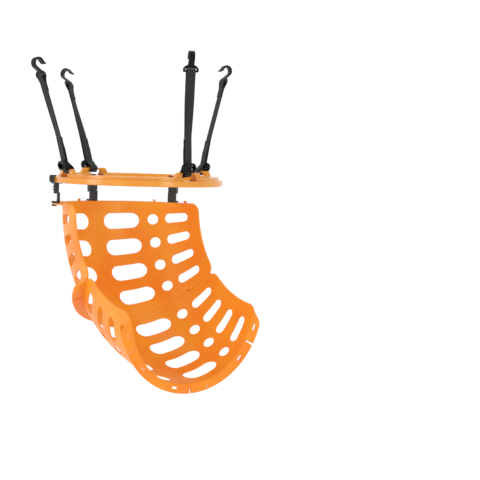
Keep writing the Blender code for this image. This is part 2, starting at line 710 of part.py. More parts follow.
# Hook: a base with a slot for the webbing, and a flat band that leans back from it and
# curls over the rim, with a flared tip.
HOOK_THICK = 4.2
HOOK_BAND = 13.0
CURL = 10.3                 # radius of the curl's centreline
CROWN = (0.3, 29.2)         # its centre
base = outline_mesh([mm_loop(rounded([(-16, -2), (16, -2), (16, 5.4), (13, 9.6), (7.6, 12.8),
                                      (-7.6, 12.8), (-13, 9.6), (-16, 5.4)],
                                     [1.6, 1.6, 2, 3, 2, 2, 3, 2], 2)),
                     mm_loop(rounded([(-11.6, 2), (11.6, 2), (11.6, 5.2), (-11.6, 5.2)], 0.8, 1))],
                    -HOOK_THICK / 2 * MM, HOOK_THICK / 2 * MM)
turned(base, XZ_PLANE)
centreline = [(0.0, 8.4), (-0.15, 10.6), (-1.2, 13.2)]
for k in range(13):
    t = math.radians(215 - 200 * k / 12)
    centreline.append((CROWN[0] + CURL * math.cos(t), CROWN[1] + CURL * math.sin(t)))
centreline += [(11.7, 27.8), (13.4, 25.2), (16.2, 23.4)]
left_side, right_side = [], []
for i, (n, s) in enumerate(centreline):
    before = Vector(centreline[max(i - 1, 0)])
    after = Vector(centreline[min(i + 1, len(centreline) - 1)])
    along = (after - before).normalized()
    width = HOOK_THICK / 2 * (0.72 if i == len(centreline) - 1 else 1.0)
    left_side.append((n - along.y * width, s + along.x * width))
    right_side.append((n + along.y * width, s - along.x * width))
band = turned(outline_mesh([mm_loop(left_side + right_side[::-1])], -HOOK_BAND / 2 * MM,
                           HOOK_BAND / 2 * MM), YZ_PLANE)
hook_mesh = combined(base, [("UNION", band)])

for name, phi, shift, slot, low_turn, top_turn in STRAPS:
    strap = Strap(phi, shift, slot, low_turn, top_turn)
    # Webbing: a two-column strip laid along its path, thickened.
    path = webbing_path(strap.length)
    bm = bmesh.new()
    rows = []
    for inward, s in path:
        wide, into, up = strap.axes(s)
        at = up * s + into * inward
        rows.append([bm.verts.new((at + wide * (WEB_WIDTH / 2) * k) * MM) for k in (-1, 1)])
    for a, b in zip(rows, rows[1:]):
        bm.faces.new((a[0], a[1], b[1], b[0]))
    mesh = bpy.data.meshes.new("strap_" + name)
    bm.to_mesh(mesh)
    bm.free()
    obj = link("strap_" + name, mesh)
    obj.location = strap.foot * MM
    solid = obj.modifiers.new("thick", "SOLIDIFY")
    solid.thickness = WEB * MM
    solid.offset = 0.0
    solid.use_even_offset = True
    finish(obj, webbing)

    obj = link("slider_" + name, slider_mesh)
    obj.matrix_world = slider_frame(strap)
    finish(obj, black)
    obj = link("hook_" + name, hook_mesh)
    obj.matrix_world = strap.frame(strap.length)
    finish(obj, black)
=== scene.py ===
import math
import random

import bmesh
import bpy
import numpy as np
from mathutils import Matrix, Vector
from mathutils.geometry import delaunay_2d_cdt, tessellate_polygon


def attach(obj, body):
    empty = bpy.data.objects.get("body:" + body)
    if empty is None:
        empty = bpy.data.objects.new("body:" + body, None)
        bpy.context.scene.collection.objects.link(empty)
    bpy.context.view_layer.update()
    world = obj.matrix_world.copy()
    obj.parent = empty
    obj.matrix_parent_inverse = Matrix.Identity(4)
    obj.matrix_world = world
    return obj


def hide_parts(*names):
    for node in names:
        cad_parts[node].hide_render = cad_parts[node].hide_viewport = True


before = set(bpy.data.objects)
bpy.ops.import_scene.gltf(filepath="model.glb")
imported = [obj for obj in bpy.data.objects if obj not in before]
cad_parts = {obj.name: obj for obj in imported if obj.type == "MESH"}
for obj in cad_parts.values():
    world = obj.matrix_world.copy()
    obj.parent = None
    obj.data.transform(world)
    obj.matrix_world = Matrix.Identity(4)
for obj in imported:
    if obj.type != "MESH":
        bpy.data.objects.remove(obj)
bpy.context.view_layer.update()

MM = 0.001

# ---------------------------------------------------------------- dimensions
RING_OUTER, RING_TIER, RING_INNER = 180.0, 172.0, 150.0
RAIL_BOTTOM, RAIL_TOP, TIER_TOP = -7.5, 5.0, 12.0
LUG_R, LUG_THICK, LUG_TOP, LUG_BAR = 163.0, 8.4, 22.5, 3.5
LUG_BASE_HALF, LUG_TOP_HALF, LUG_WINDOW_HALF, WINDOW_SILL = 37.0, 29.0, 17.0, 5.2
BAR_Z = LUG_TOP - LUG_BAR / 2

WALL_KNOTS = ((0.0, 158.8), (25.0, 162.2), (50.0, 159.3), (75.0, 156.8), (105.0, 164.6))
WALL_R0, BEND_R, TOP_Z, SQUASH = 160.0, 217.8, -51.2, 0.949
FREE_EDGE, PANEL_BEND = 91.0, 43.56
WALL, FLANGE, FLANGE_R, CORNER = 3.0, 2.6, 183.0, 20.0
SPLIT, SEAM, RIB, RIB_THICK = 0.06, 0.0003, 9.0, 2.4
ROW_FIRST, ROW_PITCH, ROWS = 7.29, 9.677, 4
HOLES = ((21.7, 14.5, 18.2), (47.4, 0.0, 12.2), (68.6, 10.9, 10.3))
TABS = {"left": (13.5, 45.5, 74.0), "right": (48.0, 74.0)}
TAB_R, SLOT_R, SLOT_HALF, SLIT = 171.0, (168.3, 173.7), 7.0, (15.0, 1.1, 170.5, 180.0)
CLAMPS = (("left", -62.0), ("back", 0.0), ("right", 62.0))
CLAMP_WIDTH = 20.0

WEB, WEB_WIDTH, LOOP_R, HEM_LAYER, EYE_R = 1.5, 20.0, 7.5, 0.9, 4.1
SPREAD, LAYER, MEET = 3.8, 2.3, 18.0
SLIDER_RISE, TAIL_END, SLOT_ABOVE_BAR = 11.0, 72.0, 4.5
STRAPS = (
    ("a", -79.0, -4.5, (-229.1, 34.1, 215.0), 7.5, 15.0),
    ("b", -2.0, -5.5, (-19.1, 250.2, 207.4), 5.0, 24.0),
    ("c", 178.0, 5.0, (-19.6, -197.5, 233.1), 4.0, -33.0),
    ("d", 91.0, 0.0, (227.8, 3.6, 221.8), -8.0, -8.0),
)

scene = bpy.context.scene
looks = bpy.data.collections.new("looks")
scene.collection.children.link(looks)


# ---------------------------------------------------------------- mesh tools
class Shell:
    """A closed surface under construction: points in millimetres and faces."""

    def __init__(self):
        self.points = []
        self.faces = []

    def add(self, points):
        start = len(self.points)
        self.points.extend(tuple(p) for p in points)
        return list(range(start, len(self.points)))

    def bridge(self, a, b, closed=True):
        last = len(a) if closed else len(a) - 1
        for i in range(last):
            j = (i + 1) % len(a)
            self.faces.append((a[i], a[j], b[j], b[i]))

    def mesh(self, name):
        """Mesh in millimetres with faces that point out."""
        mesh = bpy.data.meshes.new(name)
        mesh.from_pydata(self.points, [], self.faces)
        bm = bmesh.new()
        bm.from_mesh(mesh)
        bmesh.ops.recalc_face_normals(bm, faces=bm.faces)
        bm.to_mesh(mesh)
        bm.free()
        return mesh


def link(name, mesh):
    obj = bpy.data.objects.new(name, mesh)
    looks.objects.link(obj)
    return obj


def evaluated(obj):
    bpy.context.view_layer.update()
    return bpy.data.meshes.new_from_object(obj.evaluated_get(bpy.context.evaluated_depsgraph_get()))


def combined(mesh, tools):
    """Exact Booleans between meshes in millimetres."""
    for operation, tool_mesh in tools:
        obj, tool = link("work", mesh), link("tool", tool_mesh)
        mod = obj.modifiers.new("cut", "BOOLEAN")
        mod.operation, mod.solver, mod.object = operation, "EXACT", tool
        mesh = evaluated(obj)
        bpy.data.objects.remove(obj, do_unlink=True)
        bpy.data.objects.remove(tool, do_unlink=True)
    bm = bmesh.new()
    bm.from_mesh(mesh)
    bmesh.ops.remove_doubles(bm, verts=bm.verts, dist=0.002)
    bmesh.ops.dissolve_degenerate(bm, edges=bm.edges, dist=0.001)
    bm.to_mesh(mesh)
    bm.free()
    return mesh


def joined(meshes):
    bm = bmesh.new()
    for mesh in meshes:
        bm.from_mesh(mesh)
    out = bpy.data.meshes.new("joined")
    bm.to_mesh(out)
    bm.free()
    return out


def turned(mesh, matrix):
    mesh.transform(matrix)
    if matrix.determinant() < 0:
        mesh.flip_normals()
    return mesh


XZ_PLANE = Matrix(((1, 0, 0, 0), (0, 0, -1, 0), (0, 1, 0, 0), (0, 0, 0, 1)))
YZ_PLANE = Matrix(((0, 0, 1, 0), (1, 0, 0, 0), (0, 1, 0, 0), (0, 0, 0, 1)))


def rounded(points, radius, steps=5):
    """Round every corner of a closed polygon; radius may be one number or one per corner."""
    count = len(points)
    radii = radius if isinstance(radius, (list, tuple)) else [radius] * count
    out = []
    for i, r in enumerate(radii):
        p = Vector(points[i])
        a = Vector(points[i - 1]) - p
        b = Vector(points[(i + 1) % count]) - p
        if r <= 0:
            out.append(tuple(p))
            continue
        half = a.angle(b) / 2
        cut = min(r / math.tan(half), 0.49 * a.length, 0.49 * b.length)
        r = cut * math.tan(half)
        a.normalize()
        b.normalize()
        centre = p + (a + b).normalized() * (r / math.sin(half))
        start = p + a * cut - centre
        end = p + b * cut - centre
        turn = start.angle_signed(end)
        for k in range(steps + 1):
            spin = -turn * k / steps
            c, s = math.cos(spin), math.sin(spin)
            out.append((centre.x + c * start.x - s * start.y,
                        centre.y + s * start.x + c * start.y))
    return out


def signed_area(loop):
    return sum(a[0] * b[1] - b[0] * a[1] for a, b in zip(loop, loop[1:] + loop[:1])) / 2


def inset(loop, d):
    """A closed outline moved d to its left."""
    out = []
    for i in range(len(loop)):
        p = Vector(loop[i])
        before = (p - Vector(loop[i - 1])).normalized()
        after = (Vector(loop[(i + 1) % len(loop)]) - p).normalized()
        n1, n2 = Vector((-before.y, before.x)), Vector((-after.y, after.x))
        m = (n1 + n2).normalized()
        out.append(tuple(p + m * (d / max(m.dot(n1), 0.4))))
    return out


def prism(loops, low, high, edge=0.6, segs=3, cuts=0):
    """A solid with this outline (first loop) and holes (the others), its rims rounded."""
    loops = [list(loop) for loop in loops]
    for i, loop in enumerate(loops):
        if (signed_area(loop) > 0) != (i == 0):
            loop.reverse()
    layers = []
    for k in range(segs + 1):
        t = math.pi / 2 * k / segs
        layers.append((edge * (1 - math.sin(t)), low + edge * (1 - math.cos(t))))
    for k in range(1, cuts + 1):
        layers.append((0.0, low + edge + (high - low - 2 * edge) * k / (cuts + 1)))
    for k in range(segs + 1):
        t = math.pi / 2 * (segs - k) / segs
        layers.append((edge * (1 - math.sin(t)), high - edge * (1 - math.cos(t))))
    shell = Shell()
    caps = ([], [])
    for loop in loops:
        rings = []
        for d, z in layers:
            rings.append(shell.add([(x, y, z) for x, y in (inset(loop, d) if d else loop)]))
        for a, b in zip(rings, rings[1:]):
            shell.bridge(a, b)
        caps[0].append(rings[0])
        caps[1].append(rings[-1])
    for rings in caps:
        flat = [i for ring in rings for i in ring]
        outline = [[Vector(shell.points[i]) for i in ring] for ring in rings]
        for tri in tessellate_polygon(outline):
            shell.faces.append(tuple(flat[i] for i in tri))
    return shell.mesh("prism")


def corner_normals(mesh, limit=38.0, flat_boost=None):
    """Smooth normals for each face corner, that let big faces win and keep sharp edges."""
    n_loops, n_faces = len(mesh.loops), len(mesh.polygons)
    loop_vert = np.empty(n_loops, dtype=np.int64)
    mesh.loops.foreach_get("vertex_index", loop_vert)
    totals = np.empty(n_faces, dtype=np.int64)
    mesh.polygons.foreach_get("loop_total", totals)
    loop_face = np.repeat(np.arange(n_faces), totals)
    normals = np.empty(n_faces * 3)
    mesh.polygons.foreach_get("normal", normals)
    normals = normals.reshape(-1, 3)
    areas = np.empty(n_faces)
    mesh.polygons.foreach_get("area", areas)
    weight = areas.copy()
    if flat_boost is not None:
        weight = np.where(np.abs(normals[:, 2]) > flat_boost, areas * 200 + 50, areas)
    order = np.argsort(loop_vert, kind="stable")
    sorted_vert = loop_vert[order]
    starts = np.searchsorted(sorted_vert, sorted_vert, side="left")
    counts = np.searchsorted(sorted_vert, sorted_vert, side="right") - starts
    left = np.repeat(np.arange(n_loops), counts)
    offset = np.arange(len(left)) - np.repeat(np.cumsum(counts) - counts, counts)
    right = starts[left] + offset
    face_left, face_right = loop_face[order[left]], loop_face[order[right]]
    near = np.einsum("ij,ij->i", normals[face_left], normals[face_right]) \
        > math.cos(math.radians(limit))
    w = weight[face_right] * near + 1e-12
    total = np.stack([np.bincount(left, w * normals[face_right][:, k], minlength=n_loops)
                      for k in range(3)], axis=1)
    total /= np.maximum(np.linalg.norm(total, axis=1, keepdims=True), 1e-12)
    out = np.empty((n_loops, 3))
    out[order] = total
    return out, loop_vert


def shade(mesh, limit=38.0):
    """Smooth shading with crisp edges."""
    normals, _ = corner_normals(mesh, limit)
    mesh.shade_smooth()
    mesh.normals_split_custom_set(normals.tolist())


def around(phi):
    return Matrix.Rotation(-math.radians(phi), 4, "Z")


def piece(name, mesh, matrix, body, node, material, smooth=38.0):
    """A finished piece: mesh in millimetres, placed by matrix (millimetres), on its body."""
    mesh = mesh.copy()
    if matrix is not None:
        turned(mesh, matrix)
    mesh.transform(Matrix.Scale(MM, 4))
    if smooth is not None:
        shade(mesh, smooth)
    mesh.materials.clear()
    mesh.materials.append(material)
    obj = link(name, mesh)
    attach(obj, body)
    if node:
        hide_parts(node)
    return obj


# ---------------------------------------------------------------- materials
class Nodes:
    """Small helper for building a procedural material."""

    def __init__(self, name):
        self.mat = bpy.data.materials.new(name)
        self.mat.use_nodes = True
        self.tree = self.mat.node_tree
        self.bsdf = self.tree.nodes["Principled BSDF"]
        self.coords = self.tree.nodes.new("ShaderNodeTexCoord")

    def node(self, kind, **inputs):
        node = self.tree.nodes.new("ShaderNode" + kind)
        for key, value in inputs.items():
            name = key.replace("_", " ")
            if hasattr(value, "is_output"):
                self.tree.links.new(value, node.inputs[name])
            else:
                node.inputs[name].default_value = value
        return node

    def noise(self, scale, detail=3.0, vector=None, roughness=0.5):
        node = self.node("TexNoise", Scale=scale, Detail=detail, Roughness=roughness)
        self.tree.links.new(vector or self.coords.outputs["Object"], node.inputs["Vector"])
        return node.outputs["Fac"]

    def spread(self, value, low, high, to_low, to_high):
        node = self.node("MapRange")
        node.inputs["From Min"].default_value = low
        node.inputs["From Max"].default_value = high
        node.inputs["To Min"].default_value = to_low
        node.inputs["To Max"].default_value = to_high
        self.tree.links.new(value, node.inputs["Value"])
        return node.outputs["Result"]

    def math(self, operation, a, b=None):
        node = self.tree.nodes.new("ShaderNodeMath")
        node.operation = operation
        for socket, value in zip(node.inputs, (a, b)):
            if value is None:
                continue
            if hasattr(value, "is_output"):
                self.tree.links.new(value, socket)
            else:
                socket.default_value = value
        return node.outputs[0]

    def mix(self, factor, a, b):
        node = self.tree.nodes.new("ShaderNodeMix")
        node.data_type = "RGBA"
        for index, value in ((0, factor), (6, a), (7, b)):
            if hasattr(value, "is_output"):
                self.tree.links.new(value, node.inputs[index])
            else:
                node.inputs[index].default_value = value
        return node.outputs[2]

    def bump(self, height, strength, distance, normal=None):
        node = self.node("Bump", Strength=strength, Distance=distance)
        self.tree.links.new(height, node.inputs["Height"])
        if normal is not None:
            self.tree.links.new(normal, node.inputs["Normal"])
        return node.outputs["Normal"]

    def set(self, **values):
        for key, value in values.items():
            name = key.replace("_", " ")
            if hasattr(value, "is_output"):
                self.tree.links.new(value, self.bsdf.inputs[name])
            else:
                self.bsdf.inputs[name].default_value = value


def moulded(name, light, dark, rough, coat, grain, wave, patch=9.0, gloss=0.5):
    """Injection-moulded plastic: faint colour drift, fine grain and soft waviness."""
    n = Nodes(name)
    drift = n.spread(n.noise(patch, 2.0), 0.36, 0.64, 0.0, 1.0)
    speck = n.spread(n.noise(420.0, 2.0), 0.35, 0.65, 0.0, 1.0)
    color = n.mix(drift, light, dark)
    color = n.mix(n.math("MULTIPLY", speck, 0.10), color, tuple(c * 0.86 for c in dark[:3]) + (1,))
    n.set(Base_Color=color)
    r = n.math("ADD", n.spread(n.noise(34.0, 3.0), 0.3, 0.7, rough - 0.035, rough + 0.045),
               n.spread(n.noise(650.0, 2.0), 0.3, 0.7, -0.02, 0.03))
    n.set(Roughness=r)
    soft = n.bump(n.noise(wave, 1.0), 0.10, 0.0016)
    fine = n.bump(n.noise(grain, 2.0), 0.07, 0.00012, soft)
    n.set(Normal=fine)
    n.bsdf.inputs["IOR"].default_value = 1.49
    n.bsdf.inputs["Specular IOR Level"].default_value = gloss
    n.bsdf.inputs["Coat Weight"].default_value = coat
    n.bsdf.inputs["Coat Roughness"].default_value = 0.16
    return n.mat


ring_plastic = moulded("ring_plastic", (0.73, 0.290, 0.014, 1), (0.71, 0.235, 0.007, 1),
                       0.20, 0.25, 2600.0, 22.0, 12.0, 0.55)
chute_plastic = moulded("chute_plastic", (0.85, 0.300, 0.010, 1), (0.85, 0.218, 0.004, 1),
                        0.33, 0.03, 2400.0, 15.0, 11.0, 0.32)
clamp_plastic = moulded("clamp_plastic", (0.030, 0.030, 0.032, 1), (0.020, 0.020, 0.022, 1),
                        0.42, 0.0, 3200.0, 60.0, 60.0, 0.40)
hook_plastic = moulded("hook_plastic", (0.0030, 0.0030, 0.0034, 1), (0.0020, 0.0020, 0.0022, 1),
                       0.28, 0.0, 3000.0, 50.0, 60.0, 0.18)


def woven(name):
    """Plain-woven webbing from a UV map in millimetres: u along, v across."""
    n = Nodes(name)
    tree = n.tree
    uv = n.node("UVMap")
    uv.uv_map = "weave"
    split = n.node("SeparateXYZ")
    tree.links.new(uv.outputs["UV"], split.inputs[0])
    u, v = split.outputs[0], split.outputs[1]
    # Two sets of yarns that pass over and under each other.
    along = n.math("MULTIPLY", u, math.tau / 1.9)
    across = n.math("MULTIPLY", v, math.tau / 1.25)
    warp = n.math("MULTIPLY", n.math("SINE", along), n.math("SINE", across))
    rows = n.math("ABSOLUTE", n.math("SINE", n.math("MULTIPLY", along, 1.0)))
    cols = n.math("ABSOLUTE", n.math("SINE", n.math("MULTIPLY", across, 1.0)))
    weave = n.math("ADD", n.math("MULTIPLY", warp, 0.5), n.math("MULTIPLY", n.math("MULTIPLY", rows, cols), 0.6))
    stretch = n.node("CombineXYZ")
    tree.links.new(n.math("MULTIPLY", u, 0.25), stretch.inputs[0])
    tree.links.new(n.math("MULTIPLY", v, 6.0), stretch.inputs[1])
    fibre = n.noise(1.6, 3.0, stretch.outputs[0])
    height = n.math("ADD", weave, n.math("MULTIPLY", fibre, 0.5))
    # The selvedges are darker.
    edge = n.math("ABSOLUTE", v)
    edge_mask = n.spread(edge, 7.6, 9.4, 0.0, 1.0)
    body = n.mix(n.spread(weave, -0.5, 1.0, 0.0, 1.0), (0.011, 0.011, 0.012, 1), (0.034, 0.034, 0.035, 1))
    body = n.mix(n.spread(fibre, 0.3, 0.7, 0.0, 0.45), body, (0.018, 0.018, 0.019, 1))
    drift = n.spread(n.noise(60.0, 2.0), 0.35, 0.65, 0.0, 0.35)
    body = n.mix(drift, body, (0.020, 0.020, 0.021, 1))
    n.set(Base_Color=n.mix(edge_mask, body, (0.005, 0.005, 0.0055, 1)))
    n.set(Roughness=n.spread(fibre, 0.3, 0.7, 0.62, 0.82))
    n.set(Normal=n.bump(height, 0.75, 0.00022))
    n.bsdf.inputs["Sheen Weight"].default_value = 0.06
    n.bsdf.inputs["Sheen Roughness"].default_value = 0.45
    n.bsdf.inputs["Specular IOR Level"].default_value = 0.22
    return n.mat


webbing = woven("webbing")


def thread(name):
    n = Nodes(name)
    twist = n.noise(2600.0, 2.0)
    n.set(Base_Color=n.mix(twist, (0.012, 0.012, 0.013, 1), (0.035, 0.035, 0.037, 1)))
    n.set(Roughness=n.spread(twist, 0.3, 0.7, 0.45, 0.65))
    n.set(Normal=n.bump(twist, 0.4, 0.0001))
    n.bsdf.inputs["Sheen Weight"].default_value = 0.05
    return n.mat


stitching = thread("stitching")


# ---------------------------------------------------------------- ring
def fillet_profile(points, radii, steps=4):
    return rounded(points, radii, steps)


def revolve(profile, steps):
    shell = Shell()
    rings = []
    for k in range(steps):
        a = math.tau * k / steps
        rings.append(shell.add([(r * math.sin(a), r * math.cos(a), z) for r, z in profile]))
    for k in range(steps):
        shell.bridge(rings[k], rings[(k + 1) % steps])
    return shell.mesh("revolved")


ring_section = fillet_profile(
    [(RING_INNER, TIER_TOP), (RING_TIER, TIER_TOP), (RING_TIER, RAIL_TOP), (RING_OUTER, RAIL_TOP),
     (RING_OUTER, RAIL_BOTTOM), (169.0, RAIL_BOTTOM), (169.0, 8.8), (153.0, 8.8),
     (153.0, RAIL_BOTTOM), (RING_INNER, RAIL_BOTTOM)],
    [1.6, 1.6, 1.1, 1.9, 1.9, 0.5, 0.8, 0.8, 0.5, 0.9])
ring_mesh = revolve(ring_section, 240)

lug_outline = rounded([(-LUG_BASE_HALF, 9.4), (LUG_BASE_HALF, 9.4),
                       (LUG_TOP_HALF, LUG_TOP), (-LUG_TOP_HALF, LUG_TOP)], [0.5, 0.5, 6, 6], 7)
lug_mesh = turned(prism([lug_outline], -LUG_THICK / 2, LUG_THICK / 2, 1.3, 4),
                  Matrix.Translation((0, LUG_R, 0)) @ XZ_PLANE)
floor_mesh = prism([[(-20, 151.5), (20, 151.5), (20, 170.5), (-20, 170.5)]], 2.0, WINDOW_SILL + 0.4,
                   0.0001, 1)
# The windows go down through the tier.
window_outline = rounded([(-LUG_WINDOW_HALF, WINDOW_SILL), (LUG_WINDOW_HALF, WINDOW_SILL),
                          (LUG_WINDOW_HALF, LUG_TOP - LUG_BAR),
                          (-LUG_WINDOW_HALF, LUG_TOP - LUG_BAR)], [0.8, 0.8, 2.6, 2.6], 5)
window_mesh = turned(prism([window_outline], -176.0, -146.0, 0.0001, 1), XZ_PLANE)
slot_mesh = turned(prism([rounded([(-6.8, WINDOW_SILL), (6.8, WINDOW_SILL), (6.8, 10.4),
                                   (-6.8, 10.4)], 0.7, 3)], -176.0, -146.0, 0.0001, 1), XZ_PLANE)
lugs, floors, windows = [], [], [turned(slot_mesh, around(64.0))]
for name, phi, shift, slot, low_turn, top_turn in STRAPS:
    lugs.append(turned(lug_mesh.copy(), around(phi)))
    floors.append(turned(floor_mesh.copy(), around(phi)))
    windows.append(turned(window_mesh.copy(), around(phi)))
ring_mesh = combined(ring_mesh, [("UNION", joined(lugs)), ("UNION", joined(floors)),
                                 ("DIFFERENCE", joined(windows))])
piece("ring_body", ring_mesh, None, "ring", "ring", ring_plastic, 34.0)


# ---------------------------------------------------------------- chute panels
def spline_through(knots):
    x = np.array([k[0] for k in knots])
    y = np.array([k[1] for k in knots])
    n = len(x)
    h = np.diff(x)
    a = np.zeros((n, n))
    b = np.zeros(n)
    a[0, 0] = a[-1, -1] = 1.0
    for i in range(1, n - 1):
        a[i, i - 1], a[i, i], a[i, i + 1] = h[i - 1], 2 * (h[i - 1] + h[i]), h[i]
        b[i] = 6 * ((y[i + 1] - y[i]) / h[i] - (y[i] - y[i - 1]) / h[i - 1])
    m = np.linalg.solve(a, b)

    def value(t):
        t = np.asarray(t, dtype=float)
        i = np.clip(np.searchsorted(x, t) - 1, 0, n - 2)
        u, v = x[i + 1] - t, t - x[i]
        return ((m[i] * u ** 3 + m[i + 1] * v ** 3) / (6 * h[i])
                + (y[i] / h[i] - m[i] * h[i] / 6) * u
                + (y[i + 1] / h[i] - m[i + 1] * h[i] / 6) * v)
    return value


wall_radius = spline_through(WALL_KNOTS)
FLAT_Y = 300.0
BEND = math.radians(PANEL_BEND)


def along_x(phi):
    return math.radians(phi) * WALL_R0


def local_rho(x):
    return BEND_R + WALL_R0 * math.cos(x / WALL_R0)


EDGE_X = along_x(FREE_EDGE)


def from_edge(x, y, bottom):
    """Flat position of a point y in from the upper or lower end of the panel."""
    turn = SEAM + y / local_rho(x)
    if bottom:
        turn = BEND - turn
    return (x, turn * FLAT_Y)


def bent(points, lower, left):
    """Flat points (n, 3) to the bent pipe, all in millimetres."""
    phi = np.degrees(points[:, 0] / WALL_R0)
    height = points[:, 2]
    blend = np.clip((height - 4.0) / 14.0, 0.0, 1.0)
    r = wall_radius(phi) * (1 - blend) + WALL_R0 * blend + height
    p = np.radians(-phi if left else phi)
    beta = points[:, 1] / FLAT_Y + (BEND if lower else 0.0)
    rho = BEND_R + r * np.cos(p)
    return np.stack([r * np.sin(p), -BEND_R + rho * np.cos(beta),
                     TOP_Z - SQUASH * rho * np.sin(beta)], axis=1)


def hole_loop(phi, half_length, half_width, beta_deg, grow):
    """Outline of one hole, grown by a few tenths for its rounded rim."""
    radius = float(wall_radius(phi))
    rho = BEND_R + radius * math.cos(math.radians(phi))
    straight = max(0.0, math.radians(half_length) * radius - half_width)
    w = half_width + grow
    path = []
    if straight == 0.0:
        for k in range(40):
            t = math.tau * k / 40
            path.append((w * math.cos(t), w * math.sin(t)))
    else:
        runs = max(2, round(2 * straight / 5.0))
        for side in (1, -1):
            for k in range(17):
                t = -math.pi / 2 + math.pi * k / 16
                path.append((side * (straight + w * math.cos(t)), side * w * math.sin(t)))
            for k in range(1, runs):
                path.append((side * straight * (1 - 2 * k / runs), side * w))
    return [(along_x(phi) + dx * WALL_R0 / radius,
             (math.radians(beta_deg) + dy / rho) * FLAT_Y) for dx, dy in path]


NOTCH = 62.0


def flange_rise(x, y):
    """Height of the turned-out flange over the inner surface at a point of the edge."""
    full = FLANGE_R - WALL_R0
    low = WALL + 0.5
    run = min(x, EDGE_X - CORNER) - along_x(76.0)
    if x > EDGE_X - CORNER:
        run += CORNER * math.atan2(x - (EDGE_X - CORNER), max(CORNER - y, 0.0))
    t = min(max(run / 33.0, 0.0), 1.0)
    rise = full + (low - full) * (t * t * (3 - 2 * t))
    # notch at the back joint, half of it in each panel
    if x < 1.86:
        rise = min(rise, 7.5 + x * 5.0 if x < 1.7 else 16.0 + (x - 1.7) * 50.0)
    # parallel-sided notch for the hanger's neck
    off = abs(x - along_x(NOTCH))
    if off <= 1.8:
        rise = min(rise, 6.0 - math.sqrt(max(0.0, 1.8 ** 2 - off ** 2)) + 0.2)
    elif off < 2.6:
        rise = min(rise, full - 0.8 + math.sqrt(max(0.0, 0.64 - (2.6 - off) ** 2)))
    return rise


SECTION_T = FLANGE


def section(rise, inner, outer):
    """Cross-section of the edge as (inset, height), from the inner face round to the outer."""
    inner = min(inner, 0.45 * rise)
    tip = min(0.9, 0.45 * (rise - WALL))
    outer = min(outer, 0.5 * (rise - WALL))
    out = []
    for k in range(6):
        t = math.pi / 2 * k / 5
        out.append((inner * (1 - math.sin(t)), inner * (1 - math.cos(t))))
    for k in (1, 2, 3):
        out.append((0.0, inner + (rise - tip - inner) * k / 4))
    for k in range(4):
        t = math.pi / 2 * k / 3
        out.append((tip * (1 - math.cos(t)), rise - tip + tip * math.sin(t)))
    for k in range(4):
        t = math.pi / 2 * k / 3
        out.append((SECTION_T - tip * (1 - math.sin(t)), rise - tip * (1 - math.cos(t))))
    for k in (1, 2, 3):
        out.append((SECTION_T, rise - tip + (WALL + outer - rise + tip) * k / 4))
    for k in range(5):
        t = math.pi / 2 * k / 4
        out.append((SECTION_T + outer * (1 - math.cos(t)), WALL + outer * (1 - math.sin(t))))
    return out


def smooth_step(t):
    t = min(max(t, 0.0), 1.0)
    return t * t * (3 - 2 * t)


def end_columns():
    """Places of the sections along one end, in flat x."""
    xs = [SPLIT, SPLIT + 0.12, SPLIT + 0.30, SPLIT + 0.55, SPLIT + 0.9, 1.45, 1.7, 1.84, 2.1]
    x = 6.0
    while x < EDGE_X - CORNER - 2.5:
        if abs(x - along_x(NOTCH)) > 4.4:
            xs.append(x)
        x += 5.0
    c = along_x(NOTCH)
    for off in (-4.0, -2.6, -2.35, -2.0, -1.83, -1.8, -1.5, -1.0, -0.4, 0.4, 1.0, 1.5, 1.8, 1.83,
                2.0, 2.35, 2.6, 4.0):
        xs.append(c + off)
    xs.append(EDGE_X - CORNER)
    return sorted(xs)


def edge_stations(lower):
    """Sections round three sides of the panel: (place of inset d, rise, inner and outer fillet)."""
    stations = []

    def fillets(x, bottom):
        if bottom and lower:       # the chute's mouth: broad at the bottom, tight at the sides
            inner = 1.5 + 3.6 * (1 - smooth_step((x / WALL_R0 - 0.35) / 0.75))
            return inner, min(inner, 3.2)
        if not bottom and not lower:
            return 1.3, 1.6
        return 0.65, 1.6

    corner_steps = 12
    for bottom in (False, True):
        side = []
        for x in end_columns():
            inner, outer = fillets(x, bottom)
            side.append((lambda d, x=x, b=bottom: from_edge(x, d, b), flange_rise(x, 0.0), inner, outer))
        for k in range(1, corner_steps + 1):
            t = math.pi / 2 * k / corner_steps
            x0 = EDGE_X - CORNER + CORNER * math.sin(t)
            y0 = CORNER - CORNER * math.cos(t)
            inner, outer = fillets(EDGE_X - CORNER, bottom)
            inner += (1.1 - inner) * smooth_step(k / corner_steps)

            def place(d, t=t, b=bottom):
                return from_edge(EDGE_X - CORNER + (CORNER - d) * math.sin(t),
                                 CORNER - (CORNER - d) * math.cos(t), b)
            side.append((place, flange_rise(x0, y0), inner, outer))
        if bottom:
            side.reverse()
        stations.append(side)
    top, bottom = stations
    y_top = from_edge(EDGE_X, CORNER, False)[1]
    y_bottom = from_edge(EDGE_X, CORNER, True)[1]
    rho = local_rho(EDGE_X)
    free = []
    count = 20
    for k in range(1, count):
        y = y_top + (y_bottom - y_top) * k / count
        near = min(y - y_top, y_bottom - y) / FLAT_Y * rho
        free.append((lambda d, y=y: (EDGE_X - d, y), flange_rise(EDGE_X, CORNER + near), 1.1, 0.6))
    return top + free + bottom


def inside(px, py, loop):
    """Even-odd test of points against one outline."""
    out = np.zeros(len(px), dtype=bool)
    n = len(loop)
    for i in range(n):
        x1, y1 = loop[i]
        x2, y2 = loop[(i + 1) % n]
        if y1 == y2:
            continue
        cross = ((y1 > py) != (y2 > py)) & (px < (x2 - x1) * (py - y1) / (y2 - y1) + x1)
        out ^= cross
    return out


